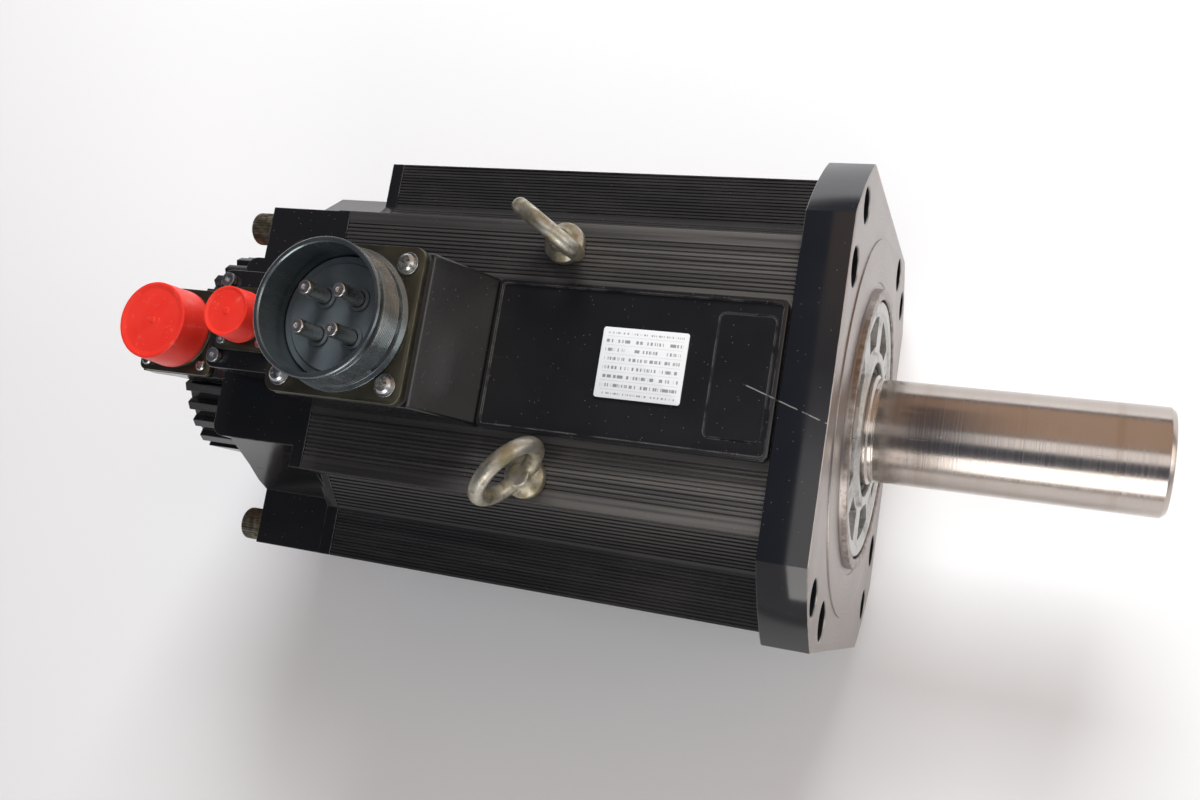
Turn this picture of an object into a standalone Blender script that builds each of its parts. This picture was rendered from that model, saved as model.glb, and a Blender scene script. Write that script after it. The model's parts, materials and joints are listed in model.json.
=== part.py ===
"""Flange-mounted AC servo motor with a cooling fan, lying with its nameplate side up.

The motor is modelled around its shaft: x runs along the shaft from the mounting face, y across,
z up through the nameplate side. An empty lifts it so that the flange's lower edge is at z = 0.
"""

import math

import bmesh
import bpy
from mathutils import Matrix, Vector

# --- driving dimensions, in metres -------------------------------------------------------------
GAP = 0.0003  # between touching pieces
MERGE = 2e-6  # vertices closer than this are one

FLANGE_SIDE = 0.180
FLANGE_THICK = 0.018
FLANGE_CORNER_R = 0.109  # about the shaft axis
BOLT_CIRCLE_R = 0.100
MOUNT_HOLE_R = 0.00675
PAD_R = 0.077
PAD_HEIGHT = 0.0006
PILOT_R = 0.05715
PILOT_HEIGHT = 0.0032
RECESS_R = 0.053
RECESS_FLOOR_X = -0.0063

SHAFT_R = 0.021
SHAFT_LENGTH = 0.113
JOURNAL_R = 0.0225
CORE_SEAT_R = 0.026
REAR_JOURNAL_R = 0.0175
TAIL_R = 0.006
TAIL_X = -0.256

BEARING_R = 0.0425
BEARING_WIDTH = 0.019
FRONT_BEARING_X = -0.0125
REAR_BEARING_R = 0.036
REAR_BEARING_WIDTH = 0.017
REAR_BEARING_X = -0.2075

FRAME_FRONT_X = -FLANGE_THICK - GAP
FRAME_REAR_X = -0.2043
FRAME_TOP = 0.086
FRAME_EDGE = 0.0534
CHAMFER_EDGE = 0.066
FRAME_BORE_R = 0.070
UPPER_GROOVES = 10
UPPER_GROOVE_FROM = 0.0310
UPPER_GROOVE_TO = 0.0484
NOTCH_GROOVES = 13
NOTCH_GROOVE_FROM = 0.0675
NOTCH_GROOVE_TO = 0.0850
CHAMFER_GROOVES = 7
GROOVE_DEPTH = 0.0006

TIE_BOLT_Y = 0.0454
TIE_BOLT_Z = 0.0786
TIE_BOLT_R = 0.004
TIE_HEAD_R = 0.0068
TIE_HEAD_LENGTH = 0.010
TIE_PORT_R = 0.0074
TIE_PORT_DEPTH = 0.009

BRACKET_PLATE_X = -0.2101
BRACKET_REAR_X = -0.242
PLATFORM_REAR_X = -0.250

EYEBOLT_X = -0.107
EYEBOLT_Y = 0.0445
EYE_RING_R = 0.01315
EYE_WIRE_R = 0.00315
EYE_CENTRE_HEIGHT = 0.0185
EYEBOLT_TURNS = (math.radians(-33.0), math.radians(52.0))

COVER_HALF_WIDTH = 0.0285
COVER_TOP = 0.0918
COVER_REAR_X = -0.1292
LABEL_X = (-0.0845, -0.0520)
LABEL_Y = (-0.0125, 0.0135)
COVER_LIP_WIDTH = 0.0018
COVER_LIP_HEIGHT = 0.0010

POWER_X = -0.1707
POWER_FLANGE_TOP = 0.1264
POWER_FLANGE_SIDE = 0.0572
POWER_HOLE_HALF = 0.0222
POWER_SHELL_R = 0.0254
POWER_RIM_TOP = 0.1450
POWER_PIN_HALF = 0.0070
POWER_PIN_R = 0.00286
POWER_PIN_TOP = 0.1435
POWER_INSERT_TOP = 0.1305
POWER_DUCT_R = 0.0205
POWER_SCREW_SHANK_R = 0.0019
POWER_SCREW_HOLE_R = 0.0022
BOX_TOP = 0.1205
BOX_REAR_X = -0.1993

FAN_CONNECTOR_X = -0.2259
FAN_FLANGE_TOP = 0.1093
FAN_FLANGE_SIDE = 0.0254
FAN_HOLE_HALF = 0.0091
FAN_SHELL_R = 0.0080
FAN_CAP_R = 0.0103
FAN_CAP_TOP = 0.1226
FAN_BASE_TOP = 0.1066
BASE_SCREW_X = -0.2390
BASE_SCREW_Y = 0.0153

ENCODER_X = -0.2926
ENCODER_FLANGE_TOP = 0.0671
ENCODER_FLANGE_SIDE = 0.0381
ENCODER_HOLE_HALF = 0.0147
ENCODER_SHELL_R = 0.0159
ENCODER_CAP_R = 0.0174
ENCODER_CAP_TOP = 0.0866
SHELF_TOP = 0.0637
SHELF_REAR_X = -0.3120

DRUM_FLANGE_R = 0.0685
DRUM_FLANGE_REAR_X = -0.262
DRUM_REAR_X = -0.300
DRUM_HALF_WIDTH = 0.0465
DRUM_FIN_R = 0.0535
DRUM_ROOT_R = 0.0505
DRUM_BORE_R = 0.0440
DRUM_FINS = 36

FAN_BLADE_R = 0.0400
FAN_HUB_R = 0.0175

AXIS_HEIGHT = FLANGE_SIDE / 2.0
FACE_X = -(SHAFT_LENGTH + SHELF_REAR_X) / 2.0

# --- facet counts and directions ---------------------------------------------------------------
ROUND = 32
BORE_STEPS = 48
SHELL_STEPS = 28
SMALL_ROUND = 16
THREAD_STEPS = 10
SCREW_STEPS = 8

X_AXIS = Vector((1.0, 0.0, 0.0))
Z_AXIS = Vector((0.0, 0.0, 1.0))
ORIGIN = Vector((0.0, 0.0, 0.0))


# --- shared modelling helpers ------------------------------------------------------------------
def clear_scene():
    """Remove whatever the start-up file holds."""
    for item in list(bpy.data.objects):
        bpy.data.objects.remove(item, do_unlink=True)


def make_material(name, colour, roughness, metallic):
    """A Principled material with one colour."""
    material = bpy.data.materials.new(name)
    material.use_nodes = True
    shader = material.node_tree.nodes["Principled BSDF"]
    shader.inputs["Base Color"].default_value = (*colour, 1.0)
    shader.inputs["Roughness"].default_value = roughness
    shader.inputs["Metallic"].default_value = metallic
    return material


def make_empty(name, location, parent=None):
    """An axis marker that pieces are parented to."""
    empty = bpy.data.objects.new(name, None)
    empty.location = location
    empty.parent = parent
    bpy.context.collection.objects.link(empty)
    return empty


def mesh_object(name, mesh_data, material, parent, sharp_angle=35.0):
    """Turn a bmesh into a smooth-shaded object under a parent."""
    bmesh.ops.remove_doubles(mesh_data, verts=mesh_data.verts, dist=MERGE)
    bmesh.ops.recalc_face_normals(mesh_data, faces=mesh_data.faces)
    mesh = bpy.data.meshes.new(name)
    mesh_data.to_mesh(mesh)
    mesh_data.free()
    mesh.shade_smooth()
    mesh.set_sharp_from_angle(angle=math.radians(sharp_angle))
    if material is not None:
        mesh.materials.append(material)
    piece = bpy.data.objects.new(name, mesh)
    piece.parent = parent
    bpy.context.collection.objects.link(piece)
    return piece


def spin_profile(mesh_data, profile, axis, centre, steps, closed=True):
    """Turn a profile of (along, radius) points about an axis through centre."""
    across = Vector((0.0, 1.0, 0.0)) if axis.x > 0.5 else Vector((1.0, 0.0, 0.0))
    spots = [centre + axis * along + across * radius for along, radius in profile]
    points = [mesh_data.verts.new(spot) for spot in spots]
    edges = [mesh_data.edges.new(pair) for pair in zip(points, points[1:])]
    if closed:
        edges.append(mesh_data.edges.new((points[-1], points[0])))
    bmesh.ops.spin(
        mesh_data,
        geom=points + edges,
        cent=centre,
        axis=axis,
        angle=2.0 * math.pi,
        steps=steps,
        use_merge=True,
        use_duplicate=False,
    )
    bmesh.ops.remove_doubles(mesh_data, verts=mesh_data.verts, dist=MERGE)


def turned(name, profile, material, parent, axis=X_AXIS, centre=ORIGIN, steps=ROUND, closed=True):
    """A turned piece; an open profile starts and ends on its axis."""
    mesh_data = bmesh.new()
    spin_profile(mesh_data, profile, axis, centre, steps, closed)
    return mesh_object(name, mesh_data, material, parent)


def add_prism(mesh_data, outline, low, high, axis):
    """Add a solid whose outline is extruded between two heights along x or z."""
    if axis is X_AXIS:
        base = [mesh_data.verts.new((low, first, second)) for first, second in outline]
    else:
        base = [mesh_data.verts.new((first, second, low)) for first, second in outline]
    face = mesh_data.faces.new(base)
    extruded = bmesh.ops.extrude_face_region(mesh_data, geom=[face])
    moved = [item for item in extruded["geom"] if isinstance(item, bmesh.types.BMVert)]
    bmesh.ops.translate(mesh_data, verts=moved, vec=axis * (high - low))


def prism(name, outline, low, high, material, parent, axis=X_AXIS):
    """A solid of one outline, extruded along x or z."""
    mesh_data = bmesh.new()
    add_prism(mesh_data, outline, low, high, axis)
    return mesh_object(name, mesh_data, material, parent)


def rectangle(first_low, first_high, second_low, second_high):
    """Corner points of a rectangle."""
    return [
        (first_low, second_low),
        (first_high, second_low),
        (first_high, second_high),
        (first_low, second_high),
    ]


def rounded_rectangle(half_first, half_second, radius, centre=(0.0, 0.0), arc_steps=5):
    """Outline of a rectangle with round corners."""
    points = []
    corners = ((1, 1, 0.0), (-1, 1, 90.0), (-1, -1, 180.0), (1, -1, 270.0))
    for sign_first, sign_second, start in corners:
        for step in range(arc_steps + 1):
            angle = math.radians(start + 90.0 * step / arc_steps)
            first = sign_first * (half_first - radius) + radius * math.cos(angle)
            second = sign_second * (half_second - radius) + radius * math.sin(angle)
            points.append((centre[0] + first, centre[1] + second))
    return points


def flange_outline():
    """Square whose corners are arcs about the shaft axis."""
    start = math.acos(FLANGE_SIDE / 2 / FLANGE_CORNER_R)
    sweep = math.pi / 2 - 2.0 * start
    arc_steps = 8
    arc = []
    for step in range(arc_steps + 1):
        angle = start + sweep * step / arc_steps
        arc.append((FLANGE_CORNER_R * math.cos(angle), FLANGE_CORNER_R * math.sin(angle)))
    turned_arcs = [quarter_turns(y, z) for y, z in arc]
    return [spots[turn] for turn in range(4) for spots in turned_arcs]


def circle(radius, centre=(0.0, 0.0), steps=SMALL_ROUND):
    """Outline of a circle."""
    angles = [2.0 * math.pi * step / steps for step in range(steps)]
    return [(centre[0] + radius * math.cos(a), centre[1] + radius * math.sin(a)) for a in angles]


def quarter_turns(first, second):
    """A point and its copies at 90, 180 and 270 degrees about the axis."""
    return [(first, second), (-second, first), (-first, -second), (second, -first)]


def cutter(name, build, parent):
    """A hidden guide body; build adds its solids to a bmesh."""
    mesh_data = bmesh.new()
    build(mesh_data)
    guide = mesh_object(name, mesh_data, None, parent)
    guide.hide_render = True
    guide.display_type = "WIRE"
    return guide


def boolean(piece, guide, operation):
    """Leave a Boolean modifier on the piece."""
    modifier = piece.modifiers.new(guide.name, "BOOLEAN")
    modifier.object = guide
    modifier.operation = operation
    modifier.solver = "EXACT"


# --- front end ---------------------------------------------------------------------------------
def mounting_holes():
    """Centres of the four mounting holes on the flange diagonals."""
    reach = BOLT_CIRCLE_R / math.sqrt(2.0)
    return quarter_turns(reach, reach)


def tie_bolt_centres():
    """Centres of the four tie bolts, set like a pinwheel."""
    return quarter_turns(TIE_BOLT_Y, TIE_BOLT_Z)


def build_front_bracket(material, root):
    """Square flange with pilot ring, bearing seat and hub."""
    piece = prism("front_bracket", flange_outline(), -FLANGE_THICK, 0.0, material, root)

    def holes(data):
        for centre in mounting_holes():
            add_prism(data, circle(MOUNT_HOLE_R, centre), -0.03, 0.01, X_AXIS)

    boolean(piece, cutter("mounting_holes", holes, root), "DIFFERENCE")

    def ports(data):
        for centre in tie_bolt_centres():
            add_prism(data, circle(TIE_PORT_R, centre), -TIE_PORT_DEPTH, 0.01, X_AXIS)

    boolean(piece, cutter("tie_bolt_ports", ports, root), "DIFFERENCE")

    def threads(data):
        for centre in tie_bolt_centres():
            add_prism(data, circle(TIE_BOLT_R + GAP, centre, THREAD_STEPS), -0.03, 0.01, X_AXIS)

    boolean(piece, cutter("tie_bolt_threads", threads, root), "DIFFERENCE")

    hub_rear = FRONT_BEARING_X - BEARING_WIDTH - 0.0025
    boss_profile = [
        (hub_rear, 0.0),
        (hub_rear, BEARING_R + 0.008),
        (-FLANGE_THICK - 0.006, BEARING_R + 0.008),
        (-FLANGE_THICK - 0.006, FRAME_BORE_R - GAP),
        (-FLANGE_THICK * 0.6, FRAME_BORE_R - GAP),
        (-FLANGE_THICK * 0.6, PAD_R),
        (PAD_HEIGHT, PAD_R),
        (PAD_HEIGHT, PILOT_R),
        (PILOT_HEIGHT - 0.0005, PILOT_R),
        (PILOT_HEIGHT, PILOT_R - 0.0005),
        (PILOT_HEIGHT, 0.0),
    ]
    boss = cutter(
        "front_boss",
        lambda data: spin_profile(data, boss_profile, X_AXIS, ORIGIN, ROUND, closed=False),
        root,
    )
    boolean(piece, boss, "UNION")
    bore_profile = [
        (hub_rear - 0.01, 0.0),
        (hub_rear - 0.01, BEARING_R + GAP / 10),
        (FRONT_BEARING_X, BEARING_R + GAP / 10),
        (FRONT_BEARING_X, BEARING_R - 0.005),
        (RECESS_FLOOR_X, BEARING_R - 0.005),
        (RECESS_FLOOR_X, RECESS_R),
        (0.01, RECESS_R),
        (0.01, 0.0),
    ]
    bore = cutter(
        "front_bore",
        lambda data: spin_profile(data, bore_profile, X_AXIS, ORIGIN, ROUND, closed=False),
        root,
    )
    boolean(piece, bore, "DIFFERENCE")


def build_bearing_retainer(material, root):
    """Cast spoked ring that holds the front bearing, with pockets between its ribs."""
    inner = 0.0275
    outer = RECESS_R - 0.0008
    rear = RECESS_FLOOR_X + GAP
    profile = [
        (rear, inner),
        (0.0030, inner),
        (0.0030, inner + 0.0035),
        (0.0012, inner + 0.0045),
        (0.0012, outer - 0.0045),
        (0.0026, outer - 0.0035),
        (0.0026, outer),
        (rear, outer),
    ]
    piece = turned("bearing_retainer", profile, material, root)

    def pockets(data):
        for index in range(8):
            start = math.radians(index * 45.0 + 4.0)
            end = math.radians(index * 45.0 + 41.0)
            arc = [start + (end - start) * step / 3 for step in range(4)]
            outline = [(0.0475 * math.cos(a), 0.0475 * math.sin(a)) for a in arc]
            narrow = [start + 0.06, end - 0.06]
            outline += [(0.0335 * math.cos(a), 0.0335 * math.sin(a)) for a in reversed(narrow)]
            add_prism(data, outline, -0.0035, 0.01, X_AXIS)

    boolean(piece, cutter("retainer_pockets", pockets, root), "DIFFERENCE")


def build_oil_seal(material, root):
    """Lip seal between the retainer and the shaft journal."""
    profile = [
        (-0.0055, JOURNAL_R + 0.0001),
        (-0.0030, JOURNAL_R + 0.0015),
        (0.0015, JOURNAL_R + 0.0008),
        (0.0015, 0.0275 - GAP),
        (-0.0058, 0.0275 - GAP),
        (-0.0058, JOURNAL_R + 0.0012),
    ]
    turned("oil_seal", profile, material, root)


def build_bearing(prefix, rear, sizes, materials, housing, rotor):
    """Outer race, inner race and a cage whose balls run between them."""
    width, outer_r, inner_r = sizes
    middle = rear + width / 2
    pitch_r = (outer_r + inner_r) / 2
    ball_r = (outer_r - inner_r) * 0.29
    land = (outer_r - inner_r) * 0.24
    groove = ball_r * 0.75
    outer_profile = [
        (rear, outer_r),
        (rear, outer_r - land),
        (middle - groove, outer_r - land),
        (middle, pitch_r + ball_r + 0.0001),
        (middle + groove, outer_r - land),
        (rear + width, outer_r - land),
        (rear + width, outer_r),
    ]
    turned(prefix + "_bearing_outer_race", outer_profile, materials["bearing"], housing)
    inner_profile = [
        (rear, inner_r + GAP / 10),
        (rear + width, inner_r + GAP / 10),
        (rear + width, inner_r + land),
        (middle + groove, inner_r + land),
        (middle, pitch_r - ball_r - 0.0001),
        (middle - groove, inner_r + land),
        (rear, inner_r + land),
    ]
    turned(prefix + "_bearing_inner_race", inner_profile, materials["bearing"], rotor)
    build_ball_cage(prefix, middle, pitch_r, ball_r, materials["cage"], rotor)


def build_ball_cage(prefix, middle, pitch_r, ball_r, material, rotor):
    """A flat ring joined to the balls it carries."""
    half = ball_r * 0.35
    profile = [
        (middle - half, pitch_r - half),
        (middle + half, pitch_r - half),
        (middle + half, pitch_r + half),
        (middle - half, pitch_r + half),
    ]
    piece = turned(prefix + "_ball_cage", profile, material, rotor, steps=18)

    def balls(data):
        for index in range(9):
            angle = 2.0 * math.pi * index / 9
            spot = Vector((middle, pitch_r * math.cos(angle), pitch_r * math.sin(angle)))
            place = Matrix.Translation(spot)
            bmesh.ops.create_icosphere(data, subdivisions=1, radius=ball_r, matrix=place)

    boolean(piece, cutter(prefix + "_balls", balls, rotor), "UNION")


# --- stator ------------------------------------------------------------------------------------
def grooved_run(start, end, first, last, count):
    """Points from start to end with fine V grooves between two distances along the run."""
    along = (Vector(end) - Vector(start)).normalized()
    inward = Vector((-along.y, along.x))
    pitch = (last - first) / count
    points = []
    for index in range(count):
        at = first + pitch * index
        for offset, depth in ((0.15, 0.0), (0.5, 1.0), (0.85, 0.0)):
            spot = Vector(start) + along * (at + pitch * offset) + inward * (GROOVE_DEPTH * depth)
            points.append((spot.x, spot.y))
    return points


def frame_side(grooved_flanks):
    """One side of the frame's section, from one notch's chamfer to the next notch, anticlockwise."""
    top = FRAME_TOP
    edge = FRAME_EDGE
    chamfer = CHAMFER_EDGE
    length = math.hypot(chamfer - edge, chamfer - edge)
    points = [(chamfer, edge)]
    points += grooved_run((chamfer, edge), (edge, chamfer), 0.001, length - 0.001, CHAMFER_GROOVES)
    points.append((edge, chamfer))
    if grooved_flanks:
        rise = NOTCH_GROOVE_FROM - chamfer
        reach = NOTCH_GROOVE_TO - chamfer
        points += grooved_run((edge, chamfer), (edge, top), rise, reach, NOTCH_GROOVES)
    points.append((edge, top))
    margin = edge - UPPER_GROOVE_TO
    run = UPPER_GROOVE_TO - UPPER_GROOVE_FROM
    points += grooved_run((edge, top), (-edge, top), margin, margin + run, UPPER_GROOVES)
    second = edge + UPPER_GROOVE_FROM
    points += grooved_run((edge, top), (-edge, top), second, second + run, UPPER_GROOVES)
    points.append((-edge, top))
    if grooved_flanks:
        rise = top - NOTCH_GROOVE_TO
        reach = top - NOTCH_GROOVE_FROM
        points += grooved_run((-edge, top), (-edge, chamfer), rise, reach, NOTCH_GROOVES)
    points.append((-edge, chamfer))
    return points


def frame_outline():
    """The whole section: a cruciform with chamfered, grooved notches."""
    points = []
    for turn in range(4):
        side = frame_side(grooved_flanks=turn % 2 == 1)
        cosine = round(math.cos(turn * math.pi / 2))
        sine = round(math.sin(turn * math.pi / 2))
        points += [(y * cosine - z * sine, y * sine + z * cosine) for y, z in side]
    return points


def plain_outline(inset):
    """The frame's section without grooves, drawn in by an inset."""
    top = FRAME_TOP - inset
    edge = FRAME_EDGE - inset
    chamfer = CHAMFER_EDGE - inset
    points = []
    for turn in range(4):
        cosine = round(math.cos(turn * math.pi / 2))
        sine = round(math.sin(turn * math.pi / 2))
        side = [(chamfer, edge), (edge, chamfer), (edge, top), (-edge, top), (-edge, chamfer)]
        points += [(y * cosine - z * sine, y * sine + z * cosine) for y, z in side]
    return [point for index, point in enumerate(points) if point != points[index - 1]]


def build_stator_frame(material, root):
    """Extruded sleeve with grooved strips, bored for the stator core and the tie bolts."""
    piece = prism("stator_frame", frame_outline(), FRAME_REAR_X, FRAME_FRONT_X, material, root)

    def bores(data):
        add_prism(data, circle(FRAME_BORE_R, steps=BORE_STEPS), -0.22, 0.0, X_AXIS)
        for centre in tie_bolt_centres():
            add_prism(data, circle(TIE_BOLT_R + GAP, centre, THREAD_STEPS), -0.22, 0.0, X_AXIS)

    boolean(piece, cutter("frame_bores", bores, root), "DIFFERENCE")


def build_stator_core(material, root):
    """Ring of steel laminations with open slots round its bore."""
    slots = 18
    bore_r = 0.0405
    slot_r = 0.057
    tooth = 0.12
    slot = 0.06
    corners = (
        (-tooth, bore_r),
        (-slot, bore_r),
        (-slot, slot_r),
        (slot, slot_r),
        (slot, bore_r),
        (tooth, bore_r),
    )
    outer = circle(FRAME_BORE_R - GAP, steps=BORE_STEPS)
    piece = prism("stator_core", outer, -0.182, -0.046, material, root)
    inner = []
    for index in range(slots):
        middle = 2.0 * math.pi * index / slots
        for offset, radius in corners:
            angle = middle + offset
            inner.append((radius * math.cos(angle), radius * math.sin(angle)))
    guide = cutter("core_slots", lambda data: add_prism(data, inner, -0.20, -0.03, X_AXIS), root)
    boolean(piece, guide, "DIFFERENCE")


def build_winding(name, low, high, material, root):
    """Bundled end turns of the coils, a rounded ring against the core."""
    inner = 0.046
    outer = 0.064
    soft = 0.004
    profile = [
        (low, inner),
        (high, inner),
        (high, outer - soft),
        (high - soft, outer),
        (low + soft, outer),
        (low, outer - soft),
    ]
    turned(name, profile, material, root)


# --- rotor -------------------------------------------------------------------------------------
def build_shaft(material, rotor):
    """Stepped shaft with its plain output end and the encoder tail."""
    chamfer = 0.0012
    front_shoulder = FRONT_BEARING_X - BEARING_WIDTH - 0.001
    rear_shoulder = REAR_BEARING_X + 0.002
    profile = [
        (TAIL_X, 0.0),
        (TAIL_X, TAIL_R),
        (-0.2435, TAIL_R),
        (-0.2435, 0.011),
        (REAR_BEARING_X - REAR_BEARING_WIDTH - 0.001, 0.011),
        (REAR_BEARING_X - REAR_BEARING_WIDTH - 0.001, REAR_JOURNAL_R),
        (rear_shoulder, REAR_JOURNAL_R),
        (rear_shoulder, CORE_SEAT_R),
        (front_shoulder, CORE_SEAT_R),
        (front_shoulder, JOURNAL_R),
        (0.0042, JOURNAL_R),
        (0.0046, SHAFT_R),
        (SHAFT_LENGTH - chamfer, SHAFT_R),
        (SHAFT_LENGTH, SHAFT_R - chamfer),
        (SHAFT_LENGTH, 0.0),
    ]
    turned("shaft", profile, material, rotor, closed=False)


def build_rotor_core(material, rotor):
    """Laminated rotor with eight shallow magnet faces."""
    inner = CORE_SEAT_R + GAP / 10
    piece = turned(
        "rotor_core",
        [(-0.181, inner), (-0.047, inner), (-0.047, 0.0385), (-0.181, 0.0385)],
        material,
        rotor,
    )

    def splits(data):
        for index in range(8):
            angle = math.radians(45.0 * index)
            turn = Matrix.Rotation(angle, 4, X_AXIS)
            before = len(data.verts)
            add_prism(data, rectangle(-0.0012, 0.0012, 0.0365, 0.042), -0.19, -0.04, X_AXIS)
            data.verts.ensure_lookup_table()
            bmesh.ops.transform(data, matrix=turn, verts=data.verts[before:])

    boolean(piece, cutter("magnet_splits", splits, rotor), "DIFFERENCE")


def build_encoder_disc(material, rotor):
    """Graduated disc on the shaft's tail."""
    inner = TAIL_R + GAP / 10
    outer = 0.0235
    rear = -0.2535
    front = rear + 0.0015
    profile = [(rear, inner), (front, inner), (front, outer), (rear, outer)]
    turned("encoder_disc", profile, material, rotor)


# --- rear end ----------------------------------------------------------------------------------
def bracket_body_outline():
    """Section of the rear bracket behind its plate: flat top, sloping shoulders, eight sides."""
    half = [
        (0.044, FRAME_TOP),
        (0.063, 0.053),
        (0.073, 0.040),
        (0.073, -0.040),
        (0.060, -0.060),
        (0.040, -0.073),
    ]
    return half + [(-y, z) for y, z in reversed(half)]


def build_rear_bracket(material, root):
    """Plate, eight-sided body, four bolt bosses and the connector platform in one casting."""
    front = FRAME_REAR_X - GAP
    piece = prism("rear_bracket", plain_outline(0.0), BRACKET_PLATE_X, front, material, root)

    def body(data):
        add_prism(data, bracket_body_outline(), BRACKET_REAR_X, BRACKET_PLATE_X + 0.002, X_AXIS)

    boolean(piece, cutter("bracket_body", body, root), "UNION")

    def bosses(data):
        base = BRACKET_PLATE_X + 0.001
        edge = FRAME_EDGE - GAP
        add_prism(data, rectangle(0.030, edge, 0.060, FRAME_TOP), BRACKET_REAR_X, base, X_AXIS)
        add_prism(data, rectangle(-FRAME_TOP, -0.058, 0.033, edge), BRACKET_REAR_X, base, X_AXIS)
        add_prism(data, rectangle(-edge, -0.030, -FRAME_TOP, -0.060), BRACKET_REAR_X, base, X_AXIS)
        add_prism(data, rectangle(0.058, FRAME_TOP, -edge, -0.033), BRACKET_REAR_X, base, X_AXIS)

    boolean(piece, cutter("bracket_bosses", bosses, root), "UNION")

    def platform(data):
        outline = rounded_rectangle(0.022, 0.038, 0.005, centre=(-0.228, -0.007))
        add_prism(data, outline, 0.070, FRAME_TOP, Z_AXIS)

    boolean(piece, cutter("bracket_platform", platform, root), "UNION")
    seat_front = REAR_BEARING_X + 0.004
    seat_rear = REAR_BEARING_X - REAR_BEARING_WIDTH - 0.003
    bore = [
        (-0.26, 0.0),
        (-0.26, 0.0125),
        (seat_rear, 0.0125),
        (seat_rear, REAR_BEARING_R + GAP / 10),
        (seat_front, REAR_BEARING_R + GAP / 10),
        (seat_front, 0.0),
    ]

    def openings(data):
        spin_profile(data, bore, X_AXIS, ORIGIN, ROUND, closed=False)
        for centre in tie_bolt_centres():
            add_prism(data, circle(TIE_BOLT_R + GAP, centre, THREAD_STEPS), -0.26, -0.19, X_AXIS)

    boolean(piece, cutter("bracket_openings", openings, root), "DIFFERENCE")


def build_wave_washer(material, root):
    """Preload washer behind the rear bearing, waved round its ring."""
    mesh_data = bmesh.new()
    inner = 0.0285
    outer = 0.0345
    middle = REAR_BEARING_X - REAR_BEARING_WIDTH - 0.0015
    steps = 36
    rows = []
    for step in range(steps):
        angle = 2.0 * math.pi * step / steps
        wave = 0.0006 * math.sin(3.0 * angle)
        low = wave - 0.0003
        high = wave + 0.0003
        section = ((low, inner), (high, inner), (high, outer), (low, outer))
        row = [
            mesh_data.verts.new((middle + along, radius * math.cos(angle), radius * math.sin(angle)))
            for along, radius in section
        ]
        rows.append(row)
    for index, row in enumerate(rows):
        following = rows[(index + 1) % steps]
        for side in range(4):
            other = (side + 1) % 4
            mesh_data.faces.new((row[side], row[other], following[other], following[side]))
    mesh_object("wave_washer", mesh_data, material, root)


def socket_cap(data, spot, axis, radius, length, shank_r, shank_length, socket_r):
    """Add a socket-head screw whose head's underside is at spot and whose head points along axis."""
    profile = [
        (-shank_length, 0.0),
        (-shank_length, shank_r),
        (0.0, shank_r),
        (0.0, radius),
        (length, radius),
        (length, socket_r),
        (length * 0.45, socket_r),
        (length * 0.45, 0.0),
    ]
    spin_profile(data, profile, axis, spot, 10, closed=False)


def build_tie_bolts(material, root):
    """Four long socket-head bolts that hold the two brackets on the frame."""
    for index, (y, z) in enumerate(tie_bolt_centres()):
        mesh_data = bmesh.new()
        shank = -BRACKET_REAR_X - TIE_PORT_DEPTH + 0.004
        profile = [
            (BRACKET_REAR_X - GAP - TIE_HEAD_LENGTH + 0.0045, 0.0),
            (BRACKET_REAR_X - GAP - TIE_HEAD_LENGTH + 0.0045, 0.0035),
            (BRACKET_REAR_X - GAP - TIE_HEAD_LENGTH, 0.0035),
            (BRACKET_REAR_X - GAP - TIE_HEAD_LENGTH, TIE_HEAD_R - 0.0008),
            (BRACKET_REAR_X - GAP - TIE_HEAD_LENGTH + 0.0008, TIE_HEAD_R),
            (BRACKET_REAR_X - GAP, TIE_HEAD_R),
            (BRACKET_REAR_X - GAP, TIE_BOLT_R),
            (BRACKET_REAR_X + shank, TIE_BOLT_R),
            (BRACKET_REAR_X + shank, 0.0),
        ]
        spin_profile(mesh_data, profile, X_AXIS, Vector((0.0, y, z)), 14, closed=False)
        mesh_object(f"tie_bolt_{index + 1}", mesh_data, material, root)


def build_eyebolts(material, root):
    """Two lifting eyes: a collar on the frame's strip with a ring above it."""
    collar = [
        (0.0, 0.0),
        (0.0, 0.0080),
        (0.0035, 0.0080),
        (0.0045, 0.0072),
        (0.0080, 0.0045),
        (0.0080, 0.0),
    ]
    for index, side in enumerate((1.0, -1.0)):
        base = Vector((EYEBOLT_X, side * EYEBOLT_Y, FRAME_TOP + GAP))
        piece = turned(
            f"eyebolt_{index + 1}",
            collar,
            material,
            root,
            axis=Z_AXIS,
            centre=base,
            steps=SMALL_ROUND,
            closed=False,
        )

        def ring(data, spot=base, turn=EYEBOLT_TURNS[index]):
            profile = []
            for step in range(7):
                angle = 2.0 * math.pi * step / 7
                profile.append((EYE_WIRE_R * math.sin(angle), EYE_RING_R + EYE_WIRE_R * math.cos(angle)))
            spin_profile(data, profile, Z_AXIS, ORIGIN, 18, closed=True)
            stand = Matrix.Rotation(math.radians(90.0), 4, X_AXIS)
            place = Matrix.Translation(spot + Z_AXIS * EYE_CENTRE_HEIGHT)
            move = place @ Matrix.Rotation(turn, 4, Z_AXIS) @ stand
            bmesh.ops.transform(data, matrix=move, verts=data.verts)

        boolean(piece, cutter(f"eye_ring_{index + 1}", ring, root), "UNION")


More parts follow.
